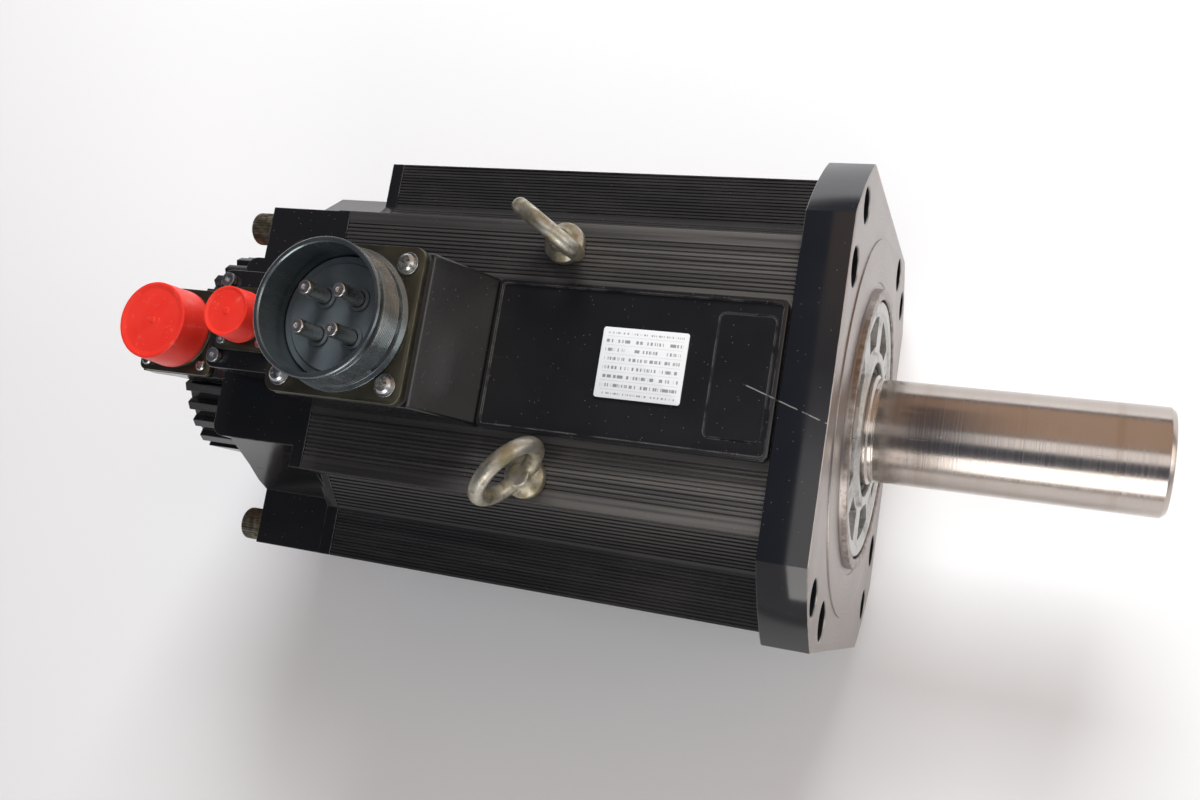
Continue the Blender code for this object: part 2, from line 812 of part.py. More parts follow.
def drum_outline():
    """Section of the finned drum: radial fins, cut off flat at both sides."""
    pitch = 2.0 * math.pi / DRUM_FINS
    corners = (
        (-0.32, DRUM_ROOT_R),
        (-0.20, DRUM_FIN_R),
        (0.20, DRUM_FIN_R),
        (0.32, DRUM_ROOT_R),
    )
    points = []
    for index in range(DRUM_FINS):
        for offset, radius in corners:
            angle = pitch * (index + 0.5 + offset)
            y = max(-DRUM_HALF_WIDTH, min(DRUM_HALF_WIDTH, radius * math.cos(angle)))
            points.append((y, radius * math.sin(angle)))
    return points


def build_rear_cover(material, root):
    """Finned drum with a round mounting flange and a shelf for the encoder's connector."""
    front = PLATFORM_REAR_X - GAP
    piece = prism("rear_cover", drum_outline(), DRUM_REAR_X, front - 0.002, material, root)
    chamfer = 0.0012
    flange_profile = [
        (DRUM_FLANGE_REAR_X, 0.0),
        (DRUM_FLANGE_REAR_X, DRUM_FLANGE_R - chamfer),
        (DRUM_FLANGE_REAR_X + chamfer, DRUM_FLANGE_R),
        (front, DRUM_FLANGE_R),
        (front, 0.0),
    ]
    flange = cutter(
        "cover_flange",
        lambda data: spin_profile(data, flange_profile, X_AXIS, ORIGIN, BORE_STEPS, closed=False),
        root,
    )
    boolean(piece, flange, "UNION")

    def shelf(data):
        half = 0.0192
        profile = [
            (DRUM_FLANGE_REAR_X + 0.002, 0.046),
            (DRUM_FLANGE_REAR_X + 0.002, SHELF_TOP + 0.001),
            (SHELF_REAR_X, SHELF_TOP + 0.001),
            (SHELF_REAR_X, 0.056),
            (DRUM_REAR_X - 0.002, 0.0535),
            (DRUM_REAR_X + 0.004, 0.046),
        ]
        base = [data.verts.new((x, -half, z)) for x, z in profile]
        face = data.faces.new(base)
        extruded = bmesh.ops.extrude_face_region(data, geom=[face])
        moved = [item for item in extruded["geom"] if isinstance(item, bmesh.types.BMVert)]
        bmesh.ops.translate(data, verts=moved, vec=Vector((0.0, 2.0 * half, 0.0)))

    boolean(piece, cutter("cover_shelf", shelf, root), "UNION")
    step_x = -0.2545
    step_r = 0.032
    profile = [
        (DRUM_REAR_X - 0.014, 0.0),
        (DRUM_REAR_X - 0.014, DRUM_BORE_R),
        (step_x, DRUM_BORE_R),
        (step_x, step_r),
        (-0.240, step_r),
        (-0.240, 0.0),
    ]
    hollow = cutter(
        "cover_hollow",
        lambda data: spin_profile(data, profile, X_AXIS, ORIGIN, ROUND, closed=False),
        root,
    )
    boolean(piece, hollow, "DIFFERENCE")

    def seat(data):
        outline = rectangle(SHELF_REAR_X - 0.008, ENCODER_X + 0.0201, -0.0206, 0.0206)
        add_prism(data, outline, SHELF_TOP, 0.09, Z_AXIS)

    boolean(piece, cutter("connector_seat", seat, root), "DIFFERENCE")


def build_encoder_housing(material, root):
    """Cup over the encoder disc, fixed to the rear bracket."""
    front = BRACKET_REAR_X - GAP
    outer = 0.0300
    inner = 0.0265
    floor = -0.2585
    rear = -0.2615
    profile = [
        (rear, 0.0),
        (rear, outer - 0.0010),
        (rear + 0.0010, outer),
        (front, outer),
        (front, inner),
        (floor, inner),
        (floor, 0.0),
    ]
    turned("encoder_housing", profile, material, root, closed=False)


def build_fan_frame(material, root):
    """Ring that fits the drum, with four struts to the fan motor's cup."""
    rear = -0.2860
    front = -0.2640
    outer = DRUM_BORE_R - GAP
    inner = outer - 0.0025
    ring = [(rear, inner), (front, inner), (front, outer), (rear, outer)]
    piece = turned("fan_frame", ring, material, root)
    strut_rear = -0.2680
    cup_r = 0.0165

    def struts(data):
        for index in range(4):
            before = len(data.verts)
            outline = rectangle(-0.003, 0.003, cup_r - 0.004, inner + 0.001)
            add_prism(data, outline, strut_rear, front - 0.0005, X_AXIS)
            data.verts.ensure_lookup_table()
            turn = Matrix.Rotation(math.radians(45.0 + 90.0 * index), 4, X_AXIS)
            bmesh.ops.transform(data, matrix=turn, verts=data.verts[before:])

    boolean(piece, cutter("fan_struts", struts, root), "UNION")
    cup = [(-0.2695, 0.0), (-0.2695, cup_r), (-0.2635, cup_r), (-0.2635, 0.0)]
    guide = cutter(
        "fan_cup",
        lambda data: spin_profile(data, cup, X_AXIS, ORIGIN, ROUND, closed=False),
        root,
    )
    boolean(piece, guide, "UNION")


def blade_rows(data, start):
    """Cross-sections of one pitched blade, from the hub out to its tip."""
    rear = -0.2836
    front = -0.2712
    steps = 4
    root_r = FAN_HUB_R - 0.0020
    rows = []
    for step in range(steps + 1):
        radius = root_r + (FAN_BLADE_R - root_r) * step / steps
        lean = 0.42 - 0.04 * step
        low = start - lean / 2 + 0.05 * step
        high = start + lean / 2 + 0.05 * step
        thick = 0.0016 / radius
        corners = ((rear, low), (rear, low + thick), (front, high + thick), (front, high))
        row = []
        for x, angle in corners:
            row.append(data.verts.new((x, radius * math.cos(angle), radius * math.sin(angle))))
        rows.append(row)
    return rows


def build_fan_impeller(material, fan):
    """Hub with seven pitched blades."""
    rear = -0.2845
    front = -0.2702
    hub = [
        (rear, 0.0),
        (rear, FAN_HUB_R - 0.0015),
        (rear + 0.0012, FAN_HUB_R),
        (front, FAN_HUB_R),
        (front, 0.0),
    ]
    piece = turned("fan_impeller", hub, material, fan, closed=False)

    def blades(data):
        count = 7
        for index in range(count):
            rows = blade_rows(data, 2.0 * math.pi * index / count)
            data.faces.new(rows[0])
            data.faces.new(list(reversed(rows[-1])))
            for row, following in zip(rows, rows[1:]):
                for side in range(4):
                    other = (side + 1) % 4
                    data.faces.new((row[side], following[side], following[other], row[other]))

    boolean(piece, cutter("fan_blades", blades, fan), "UNION")


def build_fan_guard(material, root):
    """Pressed guard of rings and spokes, let into the drum's mouth behind the fan."""
    rear = DRUM_REAR_X + GAP
    front = rear + 0.0016
    outer = DRUM_BORE_R - GAP
    profile = [
        (rear, outer - 0.0035),
        (front, outer - 0.0035),
        (front, outer),
        (rear, outer),
    ]
    piece = turned("fan_guard", profile, material, root)

    def rings(data):
        half = 0.001
        for radius in (0.014, 0.023, 0.032):
            low = radius - half
            high = radius + half
            section = [(rear, low), (front, low), (front, high), (rear, high)]
            spin_profile(data, section, X_AXIS, ORIGIN, 20, closed=True)

    def spokes(data):
        tip = outer - 0.0020
        inner = 0.0060
        half = 0.0012
        outline = []
        for index in range(6):
            angle = math.radians(60.0 * index + 7.0)
            along = Vector((math.cos(angle), math.sin(angle)))
            across = Vector((-along.y, along.x)) * half
            corners = (
                along * inner - across,
                along * tip - across,
                along * tip + across,
                along * inner + across,
            )
            outline += [(spot.x, spot.y) for spot in corners]
        add_prism(data, outline, rear + 0.0002, front - 0.0002, X_AXIS)

    boolean(piece, cutter("guard_spokes", spokes, root), "UNION")
    boolean(piece, cutter("guard_rings", rings, root), "UNION")


# --- nameplate side ----------------------------------------------------------------------------
def build_nameplate_cover(material, root):
    """Shallow cover on the frame, dished inside a raised rim."""
    front = FRAME_FRONT_X - GAP
    half = (front - COVER_REAR_X) / 2
    centre = ((front + COVER_REAR_X) / 2, 0.0)
    low = FRAME_TOP + GAP
    outline = rounded_rectangle(half, COVER_HALF_WIDTH, 0.003, centre, 3)
    piece = prism("nameplate_cover", outline, low, COVER_TOP, material, root, axis=Z_AXIS)

    def dish(data):
        lip = COVER_LIP_WIDTH
        inner = rounded_rectangle(half - lip, COVER_HALF_WIDTH - lip, 0.002, centre, 3)
        add_prism(data, inner, COVER_TOP - COVER_LIP_HEIGHT, COVER_TOP + 0.01, Z_AXIS)

    boolean(piece, cutter("cover_dish", dish, root), "DIFFERENCE")


def build_nameplate(material, root):
    """Thin rating plate on the cover."""
    centre = ((LABEL_X[0] + LABEL_X[1]) / 2, (LABEL_Y[0] + LABEL_Y[1]) / 2)
    outline = rounded_rectangle(
        (LABEL_X[1] - LABEL_X[0]) / 2, (LABEL_Y[1] - LABEL_Y[0]) / 2, 0.0012, centre, 3
    )
    low = COVER_TOP - COVER_LIP_HEIGHT + GAP
    prism("nameplate", outline, low, low + 0.0005, material, root, axis=Z_AXIS)


def build_connector_box(material, root):
    """Tower that lifts the power connector, drafted at its front and open down its middle."""
    low = FRAME_TOP + GAP
    front_low = COVER_REAR_X - GAP
    front_high = POWER_X + POWER_FLANGE_SIDE / 2
    profile = [
        (BOX_REAR_X, low),
        (front_low, low),
        (front_low, COVER_TOP - GAP),
        (front_high, BOX_TOP),
        (BOX_REAR_X, BOX_TOP),
    ]
    half = COVER_HALF_WIDTH
    mesh_data = bmesh.new()
    base = [mesh_data.verts.new((x, -half, z)) for x, z in profile]
    face = mesh_data.faces.new(base)
    extruded = bmesh.ops.extrude_face_region(mesh_data, geom=[face])
    moved = [item for item in extruded["geom"] if isinstance(item, bmesh.types.BMVert)]
    bmesh.ops.translate(mesh_data, verts=moved, vec=Vector((0.0, 2.0 * half, 0.0)))
    piece = mesh_object("connector_box", mesh_data, material, root)
    guide = cutter(
        "box_duct",
        lambda data: add_prism(data, circle(POWER_DUCT_R, (POWER_X, 0.0), ROUND), 0.05, 0.15, Z_AXIS),
        root,
    )
    boolean(piece, guide, "DIFFERENCE")


def square_corners(centre_x, half):
    """Four corner spots of a square about a connector's axis."""
    return [(centre_x + dx * half, dy * half) for dx in (-1.0, 1.0) for dy in (-1.0, 1.0)]


def build_receptacle(prefix, centre_x, flange_top, side, thick, hole_half, hole_r, shell, material, root):
    """Square flange with a round hollow shell; shell is (outer radius, wall, rim height, floor)."""
    outer_r, wall, rim, floor = shell
    outline = rounded_rectangle(side / 2, side / 2, side * 0.08, (centre_x, 0.0), 4)
    low = flange_top - thick
    piece = prism(prefix + "_shell", outline, low, flange_top, material, root, axis=Z_AXIS)
    centre = Vector((centre_x, 0.0, 0.0))
    body = [
        (flange_top - thick / 2, 0.0),
        (flange_top - thick / 2, outer_r + wall * 0.6),
        (flange_top + 0.0016, outer_r + wall * 0.6),
        (flange_top + 0.0022, outer_r),
        (rim - 0.0005, outer_r),
        (rim, outer_r - 0.0005),
        (rim, 0.0),
    ]
    barrel = cutter(
        prefix + "_barrel",
        lambda data: spin_profile(data, body, Z_AXIS, centre, SHELL_STEPS, closed=False),
        root,
    )
    boolean(piece, barrel, "UNION")

    def cuts(data):
        mouth = circle(outer_r - wall, (centre_x, 0.0), SHELL_STEPS)
        add_prism(data, mouth, floor, rim + 0.01, Z_AXIS)
        for spot in square_corners(centre_x, hole_half):
            hole = circle(hole_r, spot, SCREW_STEPS)
            add_prism(data, hole, flange_top - thick - 0.01, flange_top + 0.001, Z_AXIS)

    boolean(piece, cutter(prefix + "_cuts", cuts, root), "DIFFERENCE")


def build_screws(prefix, spots, top, head_r, head_h, shank_r, shank, material, root):
    """Small socket-head screws standing in holes."""
    for index, (x, y) in enumerate(spots):
        mesh_data = bmesh.new()
        spot = Vector((x, y, top + GAP))
        socket_cap(mesh_data, spot, Z_AXIS, head_r, head_h, shank_r, shank, head_r * 0.45)
        mesh_object(f"{prefix}_screw_{index + 1}", mesh_data, material, root)


def build_power_connector(materials, root):
    """Gasket, shell, insulator, four pins and four screws on the box."""
    gasket_low = BOX_TOP + GAP
    thick = 0.0032
    gasket_high = POWER_FLANGE_TOP - thick - GAP
    half = POWER_FLANGE_SIDE / 2
    outline = rounded_rectangle(half, half, 0.0045, (POWER_X, 0.0), 4)
    rubber = materials["rubber"]
    gasket = prism("power_gasket", outline, gasket_low, gasket_high, rubber, root, axis=Z_AXIS)

    def gasket_cuts(data):
        add_prism(data, circle(POWER_DUCT_R, (POWER_X, 0.0), ROUND), 0.10, 0.15, Z_AXIS)
        for spot in square_corners(POWER_X, POWER_HOLE_HALF):
            hole = circle(POWER_SCREW_HOLE_R, spot, SCREW_STEPS)
            add_prism(data, hole, 0.10, 0.15, Z_AXIS)

    boolean(gasket, cutter("gasket_cuts", gasket_cuts, root), "DIFFERENCE")
    shell = (POWER_SHELL_R, 0.0022, POWER_RIM_TOP, POWER_FLANGE_TOP - thick - 0.001)
    build_receptacle(
        "power_connector",
        POWER_X,
        POWER_FLANGE_TOP,
        POWER_FLANGE_SIDE,
        thick,
        POWER_HOLE_HALF,
        POWER_SCREW_HOLE_R,
        shell,
        materials["zinc_olive"],
        root,
    )
    radius = POWER_SHELL_R - 0.0022 - GAP
    disc = prism(
        "power_insert",
        circle(radius, (POWER_X, 0.0), SHELL_STEPS),
        POWER_FLANGE_TOP - thick,
        POWER_INSERT_TOP,
        materials["insulator"],
        root,
        axis=Z_AXIS,
    )
    pins = square_corners(POWER_X, POWER_PIN_HALF)

    def pin_holes(data):
        for spot in pins:
            add_prism(data, circle(POWER_PIN_R + GAP, spot, THREAD_STEPS), 0.11, 0.15, Z_AXIS)

    boolean(disc, cutter("insert_holes", pin_holes, root), "DIFFERENCE")
    for index, (x, y) in enumerate(pins):
        profile = [
            (POWER_FLANGE_TOP - thick, 0.0),
            (POWER_FLANGE_TOP - thick, POWER_PIN_R),
            (POWER_PIN_TOP - 0.0008, POWER_PIN_R),
            (POWER_PIN_TOP, POWER_PIN_R - 0.0008),
            (POWER_PIN_TOP, 0.0012),
            (POWER_PIN_TOP - 0.0020, 0.0012),
            (POWER_PIN_TOP - 0.0020, 0.0),
        ]
        turned(
            f"power_pin_{index + 1}",
            profile,
            materials["silver"],
            root,
            axis=Z_AXIS,
            centre=Vector((x, y, 0.0)),
            steps=THREAD_STEPS,
            closed=False,
        )
    build_screws(
        "power",
        square_corners(POWER_X, POWER_HOLE_HALF),
        POWER_FLANGE_TOP,
        0.0035,
        0.0030,
        POWER_SCREW_SHANK_R,
        POWER_FLANGE_TOP - BOX_TOP - 0.0005,
        materials["screw"],
        root,
    )


def build_fan_connector(materials, root, cap_root):
    """Raised base, small receptacle with its insert and screws, and the push-on cap."""
    outline = rounded_rectangle(0.0218, 0.0200, 0.004, (-0.2222, 0.0), 4)
    low = FRAME_TOP + GAP
    base = prism("fan_connector_base", outline, low, FAN_BASE_TOP, materials["black"], root, Z_AXIS)
    spots = [(BASE_SCREW_X, -BASE_SCREW_Y), (BASE_SCREW_X, BASE_SCREW_Y)]

    def threads(data):
        for spot in spots:
            add_prism(data, circle(0.0018, spot, SCREW_STEPS), FAN_BASE_TOP - 0.008, 0.12, Z_AXIS)

    boolean(base, cutter("base_threads", threads, root), "DIFFERENCE")
    build_screws(
        "fan_base", spots, FAN_BASE_TOP, 0.0029, 0.0022, 0.0015, 0.007, materials["screw"], root
    )
    thick = 0.0022
    shell = (FAN_SHELL_R, 0.0014, FAN_CAP_TOP - 0.0022, FAN_FLANGE_TOP - thick + 0.0006)
    build_receptacle(
        "fan_connector",
        FAN_CONNECTOR_X,
        FAN_FLANGE_TOP,
        FAN_FLANGE_SIDE,
        thick,
        FAN_HOLE_HALF,
        0.0014,
        shell,
        materials["zinc_olive"],
        root,
    )
    prism(
        "fan_insert",
        circle(FAN_SHELL_R - 0.0014 - GAP, (FAN_CONNECTOR_X, 0.0), 24),
        FAN_FLANGE_TOP - thick + 0.0009,
        FAN_FLANGE_TOP + 0.0030,
        materials["insulator"],
        root,
        axis=Z_AXIS,
    )
    build_screws(
        "fan_connector",
        square_corners(FAN_CONNECTOR_X, FAN_HOLE_HALF),
        FAN_FLANGE_TOP,
        0.0019,
        0.0016,
        0.0011,
        0.0018,
        materials["screw"],
        root,
    )
    low = FAN_FLANGE_TOP + 0.0028
    build_cap("fan_cap", FAN_SHELL_R, FAN_CAP_R, low, FAN_CAP_TOP, materials["cap"], cap_root)


def build_encoder_connector(materials, root, cap_root):
    """Receptacle on the drum's shelf with its insert, screws and push-on cap."""
    thick = 0.0028
    shell = (ENCODER_SHELL_R, 0.0018, ENCODER_CAP_TOP - 0.0022, ENCODER_FLANGE_TOP - thick + 0.0006)
    build_receptacle(
        "encoder_connector",
        ENCODER_X,
        ENCODER_FLANGE_TOP,
        ENCODER_FLANGE_SIDE,
        thick,
        ENCODER_HOLE_HALF,
        0.0016,
        shell,
        materials["zinc_olive"],
        root,
    )
    prism(
        "encoder_insert",
        circle(ENCODER_SHELL_R - 0.0018 - GAP, (ENCODER_X, 0.0), 28),
        ENCODER_FLANGE_TOP - thick + 0.0009,
        ENCODER_FLANGE_TOP + 0.0040,
        materials["insulator"],
        root,
        axis=Z_AXIS,
    )
    build_screws(
        "encoder_connector",
        square_corners(ENCODER_X, ENCODER_HOLE_HALF),
        ENCODER_FLANGE_TOP,
        0.0024,
        0.0022,
        0.0013,
        0.0024,
        materials["screw"],
        root,
    )
    low = ENCODER_FLANGE_TOP + 0.0034
    cap = materials["cap"]
    build_cap("encoder_cap", ENCODER_SHELL_R, ENCODER_CAP_R, low, ENCODER_CAP_TOP, cap, cap_root)


def build_cap(name, shell_r, cap_r, low, top, material, cap_root):
    """Soft dust cap: a cup upside down over a connector's shell."""
    inner = shell_r + GAP
    ceiling = top - 0.0016
    chamfer = 0.0006
    profile = [
        (top, 0.0),
        (top, cap_r - chamfer),
        (top - chamfer, cap_r),
        (low, cap_r),
        (low, inner),
        (ceiling, inner),
        (ceiling, 0.0),
    ]
    turned(name, profile, material, cap_root, axis=Z_AXIS, steps=SHELL_STEPS, closed=False)


def make_materials():
    """One Principled material for each kind of surface."""
    return {
        "black": make_material("black_paint", (0.022, 0.022, 0.024), 0.38, 0.0),
        "anodised": make_material("black_anodised", (0.045, 0.043, 0.046), 0.42, 0.5),
        "machined": make_material("flange_metal", (0.42, 0.40, 0.38), 0.38, 1.0),
        "cast": make_material("cast_aluminium", (0.55, 0.53, 0.50), 0.5, 1.0),
        "steel": make_material("shaft_steel", (0.60, 0.57, 0.54), 0.22, 1.0),
        "bearing": make_material("bearing_steel", (0.55, 0.55, 0.56), 0.15, 1.0),
        "cage": make_material("ball_cage_steel", (0.50, 0.45, 0.36), 0.3, 1.0),
        "laminate": make_material("lamination_steel", (0.25, 0.25, 0.27), 0.5, 0.8),
        "copper": make_material("copper_winding", (0.55, 0.24, 0.10), 0.4, 0.8),
        "zinc_bolt": make_material("zinc_yellow", (0.45, 0.42, 0.33), 0.45, 0.9),
        "zinc_olive": make_material("olive_plate", (0.22, 0.22, 0.17), 0.45, 0.8),
        "insulator": make_material("insulator_grey", (0.18, 0.22, 0.25), 0.5, 0.0),
        "silver": make_material("silver_pin", (0.75, 0.73, 0.70), 0.3, 1.0),
        "screw": make_material("screw_steel", (0.55, 0.55, 0.55), 0.3, 1.0),
        "rubber": make_material("black_rubber", (0.03, 0.03, 0.03), 0.7, 0.0),
        "label": make_material("label_white", (0.75, 0.76, 0.76), 0.4, 0.0),
        "cap": make_material("red_cap", (0.80, 0.07, 0.05), 0.4, 0.0),
        "glass": make_material("encoder_glass", (0.5, 0.55, 0.55), 0.1, 0.0),
        "plastic": make_material("fan_plastic", (0.03, 0.03, 0.03), 0.5, 0.0),
    }


def main():
    """Build every piece of the motor."""
    clear_scene()
    materials = make_materials()
    root = make_empty("motor_axis", (FACE_X, 0.0, AXIS_HEIGHT))
    rotor = make_empty("rotor_axis", (0.0, 0.0, 0.0), root)
    fan = make_empty("fan_axis", (0.0, 0.0, 0.0), root)
    encoder_cap_axis = make_empty("encoder_cap_axis", (ENCODER_X, 0.0, 0.0), root)
    fan_cap_axis = make_empty("fan_cap_axis", (FAN_CONNECTOR_X, 0.0, 0.0), root)

    build_front_bracket(materials["machined"], root)
    build_bearing_retainer(materials["cast"], root)
    build_oil_seal(materials["rubber"], root)
    build_stator_frame(materials["anodised"], root)
    build_stator_core(materials["laminate"], root)
    build_winding("front_winding", -0.0457, -0.0345, materials["copper"], root)
    build_winding("rear_winding", -0.1980, -0.1823, materials["copper"], root)
    build_rear_bracket(materials["black"], root)
    seat = FRONT_BEARING_X - BEARING_WIDTH - GAP
    sizes = (BEARING_WIDTH, BEARING_R, JOURNAL_R)
    build_bearing("front", seat, sizes, materials, root, rotor)
    seat = REAR_BEARING_X - REAR_BEARING_WIDTH
    sizes = (REAR_BEARING_WIDTH, REAR_BEARING_R, REAR_JOURNAL_R)
    build_bearing("rear", seat, sizes, materials, root, rotor)
    build_wave_washer(materials["bearing"], root)
    build_shaft(materials["steel"], rotor)
    build_rotor_core(materials["laminate"], rotor)
    build_encoder_disc(materials["glass"], rotor)
    build_tie_bolts(materials["zinc_bolt"], root)
    build_eyebolts(materials["zinc_bolt"], root)
    build_rear_cover(materials["black"], root)
    build_encoder_housing(materials["plastic"], root)
    build_fan_frame(materials["plastic"], root)
    build_fan_impeller(materials["plastic"], fan)
    build_fan_guard(materials["screw"], root)
    build_nameplate_cover(materials["black"], root)
    build_nameplate(materials["label"], root)
    build_connector_box(materials["black"], root)
    build_power_connector(materials, root)
    build_fan_connector(materials, root, fan_cap_axis)
    build_encoder_connector(materials, root, encoder_cap_axis)


main()
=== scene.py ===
"""Looks for the servo motor: detailed pieces, procedural materials, camera, light and floor."""

import json
import math

import bmesh
import bpy
from mathutils import Matrix, Vector


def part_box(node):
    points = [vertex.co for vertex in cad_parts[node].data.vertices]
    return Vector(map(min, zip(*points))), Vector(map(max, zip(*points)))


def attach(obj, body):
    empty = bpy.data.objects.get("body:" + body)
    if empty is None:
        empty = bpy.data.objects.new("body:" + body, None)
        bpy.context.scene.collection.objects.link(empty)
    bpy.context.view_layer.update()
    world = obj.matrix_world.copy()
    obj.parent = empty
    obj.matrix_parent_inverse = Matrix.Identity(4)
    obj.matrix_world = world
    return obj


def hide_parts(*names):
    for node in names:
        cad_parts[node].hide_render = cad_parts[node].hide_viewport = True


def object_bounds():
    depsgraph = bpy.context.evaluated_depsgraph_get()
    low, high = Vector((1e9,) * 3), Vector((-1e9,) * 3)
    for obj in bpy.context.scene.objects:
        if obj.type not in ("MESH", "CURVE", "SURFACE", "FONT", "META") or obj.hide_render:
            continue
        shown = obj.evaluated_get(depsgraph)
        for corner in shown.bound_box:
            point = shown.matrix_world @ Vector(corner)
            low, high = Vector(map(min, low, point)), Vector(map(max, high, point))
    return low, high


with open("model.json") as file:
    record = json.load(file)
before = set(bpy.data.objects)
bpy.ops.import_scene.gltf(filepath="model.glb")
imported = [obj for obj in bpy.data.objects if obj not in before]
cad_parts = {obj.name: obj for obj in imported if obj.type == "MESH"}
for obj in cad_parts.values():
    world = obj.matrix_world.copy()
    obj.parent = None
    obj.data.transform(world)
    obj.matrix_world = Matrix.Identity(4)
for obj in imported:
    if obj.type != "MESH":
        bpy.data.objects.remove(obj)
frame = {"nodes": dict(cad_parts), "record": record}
CAD_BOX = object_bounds()

# --- where things are, in metres ---------------------------------------------------------------
SHAFT_LENGTH = 0.113
SHAFT_LOW, SHAFT_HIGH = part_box("shaft")
HUB = Vector((SHAFT_HIGH.x - SHAFT_LENGTH, 0.0, (SHAFT_LOW.z + SHAFT_HIGH.z) / 2))  # face centre
FLOOR_Z = CAD_BOX[0].z
X_AXIS = Vector((1.0, 0.0, 0.0))
Z_AXIS = Vector((0.0, 0.0, 1.0))

# Measured from the hub: +x to the shaft's end, +z up through the nameplate side.
FLANGE_HALF, FLANGE_DEPTH, FLANGE_CORNER_R = 0.090, 0.018, 0.109
HOLE_CIRCLE_R, HOLE_R = 0.100, 0.00675
TIE_BOLT = (0.0454, 0.0786)
TIE_BOLT_BORE_R, TIE_BOLT_REAR = 0.0043, -0.2423
POWER_X, POWER_SCREW_HALF, POWER_TOP = -0.1707, 0.0222, 0.1264
ENCODER_X, ENCODER_SCREW_HALF, ENCODER_TOP, ENCODER_SHELL_R = -0.2926, 0.0147, 0.0671, 0.0159
FAN_X, FAN_SCREW_HALF, FAN_TOP, FAN_SHELL_R = -0.2259, 0.0091, 0.1093, 0.0080
EYE_RING_R, EYE_WIRE_R = 0.01315, 0.00315
SCRATCH_START = (-0.0300, -0.0026)
SCRATCH_END = (0.0006, -0.0130)
SCRATCH_COLOUR = (0.46, 0.45, 0.44)
WARM_LIGHT = (1.0, 0.97, 0.94)


def around_hub(node):
    """A CAD node's box, measured from the centre of the mounting face."""
    low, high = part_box(node)
    return low - HUB, high - HUB


# --- meshes ------------------------------------------------------------------------------------
def fillet(points, radius, closed=True, steps=3):
    """Round an outline's corners; a point may carry its own radius as a third number."""
    rounded = []
    count = len(points)
    for index, point in enumerate(points):
        spot = Vector(point[:2])
        if not closed and index in (0, count - 1):
            rounded.append(tuple(spot))
            continue
        before = Vector(points[index - 1][:2]) - spot
        after = Vector(points[(index + 1) % count][:2]) - spot
        wanted = point[2] if len(point) > 2 else radius
        spread = before.angle(after, math.pi)
        if wanted <= 0.0 or spread > math.radians(172.0) or min(before.length, after.length) < 1e-7:
            rounded.append(tuple(spot))
            continue
        reach = min(wanted / math.tan(spread / 2), 0.45 * before.length, 0.45 * after.length)
        start = spot + before.normalized() * reach
        end = spot + after.normalized() * reach
        for step in range(steps + 1):
            share = step / steps
            bent = start * (1 - share) ** 2 + spot * 2 * share * (1 - share) + end * share**2
            rounded.append(tuple(bent))
    return rounded


def lathe(profile, axis=X_AXIS, centre=(0.0, 0.0, 0.0), steps=96, radius=0.0, closed=False):
    """Turn (along, radius) points about an axis; an open profile starts and ends on the axis."""
    data = bmesh.new()
    add_lathe(data, profile, axis, centre, steps, radius, closed)
    return data


def add_lathe(data, profile, axis=X_AXIS, centre=(0.0, 0.0, 0.0), steps=96, radius=0.0, closed=False):
    """Add a turned solid to a bmesh."""
    middle = Vector(centre)
    points = fillet(profile, radius, closed)
    first = Vector((0.0, 1.0, 0.0)) if axis is X_AXIS else Vector((1.0, 0.0, 0.0))
    second = axis.cross(first)
    rings = []
    for along, reach in points:
        if reach < 1e-7:
            rings.append([data.verts.new(middle + axis * along)])
            continue
        ring = []
        for step in range(steps):
            angle = 2.0 * math.pi * step / steps
            out = first * math.cos(angle) + second * math.sin(angle)
            ring.append(data.verts.new(middle + axis * along + out * reach))
        rings.append(ring)
    pairs = list(zip(rings, rings[1:]))
    if closed:
        pairs.append((rings[-1], rings[0]))
    for low, high in pairs:
        for step in range(steps):
            following = (step + 1) % steps
            corners = [low[step % len(low)], low[following % len(low)]]
            corners += [high[following % len(high)], high[step % len(high)]]
            unique = list(dict.fromkeys(corners))
            if len(unique) > 2:
                data.faces.new(unique)


def add_prism(data, outline, low, high, axis=X_AXIS, bevel=0.0, segments=2):
    """Add an extruded outline, its two ends bevelled."""
    if axis is X_AXIS:
        base = [data.verts.new((low, first, second)) for first, second in outline]
    else:
        base = [data.verts.new((first, second, low)) for first, second in outline]
    face = data.faces.new(base)
    moved = bmesh.ops.extrude_face_region(data, geom=[face])["geom"]
    top = [item for item in moved if isinstance(item, bmesh.types.BMVert)]
    bmesh.ops.translate(data, verts=top, vec=axis * (high - low))
    if bevel > 0.0:
        rim = {edge for vert in base + top for edge in vert.link_edges}
        inside = set(base), set(top)
        rim = [edge for edge in rim if any(set(edge.verts) <= end for end in inside)]
        shape = {"offset": bevel, "segments": segments, "profile": 0.5}
        bmesh.ops.bevel(data, geom=rim, affect="EDGES", clamp_overlap=True, **shape)


def prism(outline, low, high, axis=X_AXIS, bevel=0.0, segments=2):
    """An extruded outline."""
    data = bmesh.new()
    add_prism(data, outline, low, high, axis, bevel, segments)
    return data


def rectangle(half_first, half_second, radius, centre=(0.0, 0.0), steps=6):
    """Outline of a rectangle with round corners."""
    points = []
    for sign_first, sign_second, start in ((1, 1, 0.0), (-1, 1, 90.0), (-1, -1, 180.0), (1, -1, 270.0)):
        for step in range(steps + 1):
            angle = math.radians(start + 90.0 * step / steps)
            first = sign_first * (half_first - radius) + radius * math.cos(angle)
            second = sign_second * (half_second - radius) + radius * math.sin(angle)
            points.append((centre[0] + first, centre[1] + second))
    return points


def circle(radius, centre=(0.0, 0.0), steps=48, turn=0.0):
    """Outline of a circle."""
    angles = [turn + 2.0 * math.pi * step / steps for step in range(steps)]
    return [(centre[0] + radius * math.cos(a), centre[1] + radius * math.sin(a)) for a in angles]


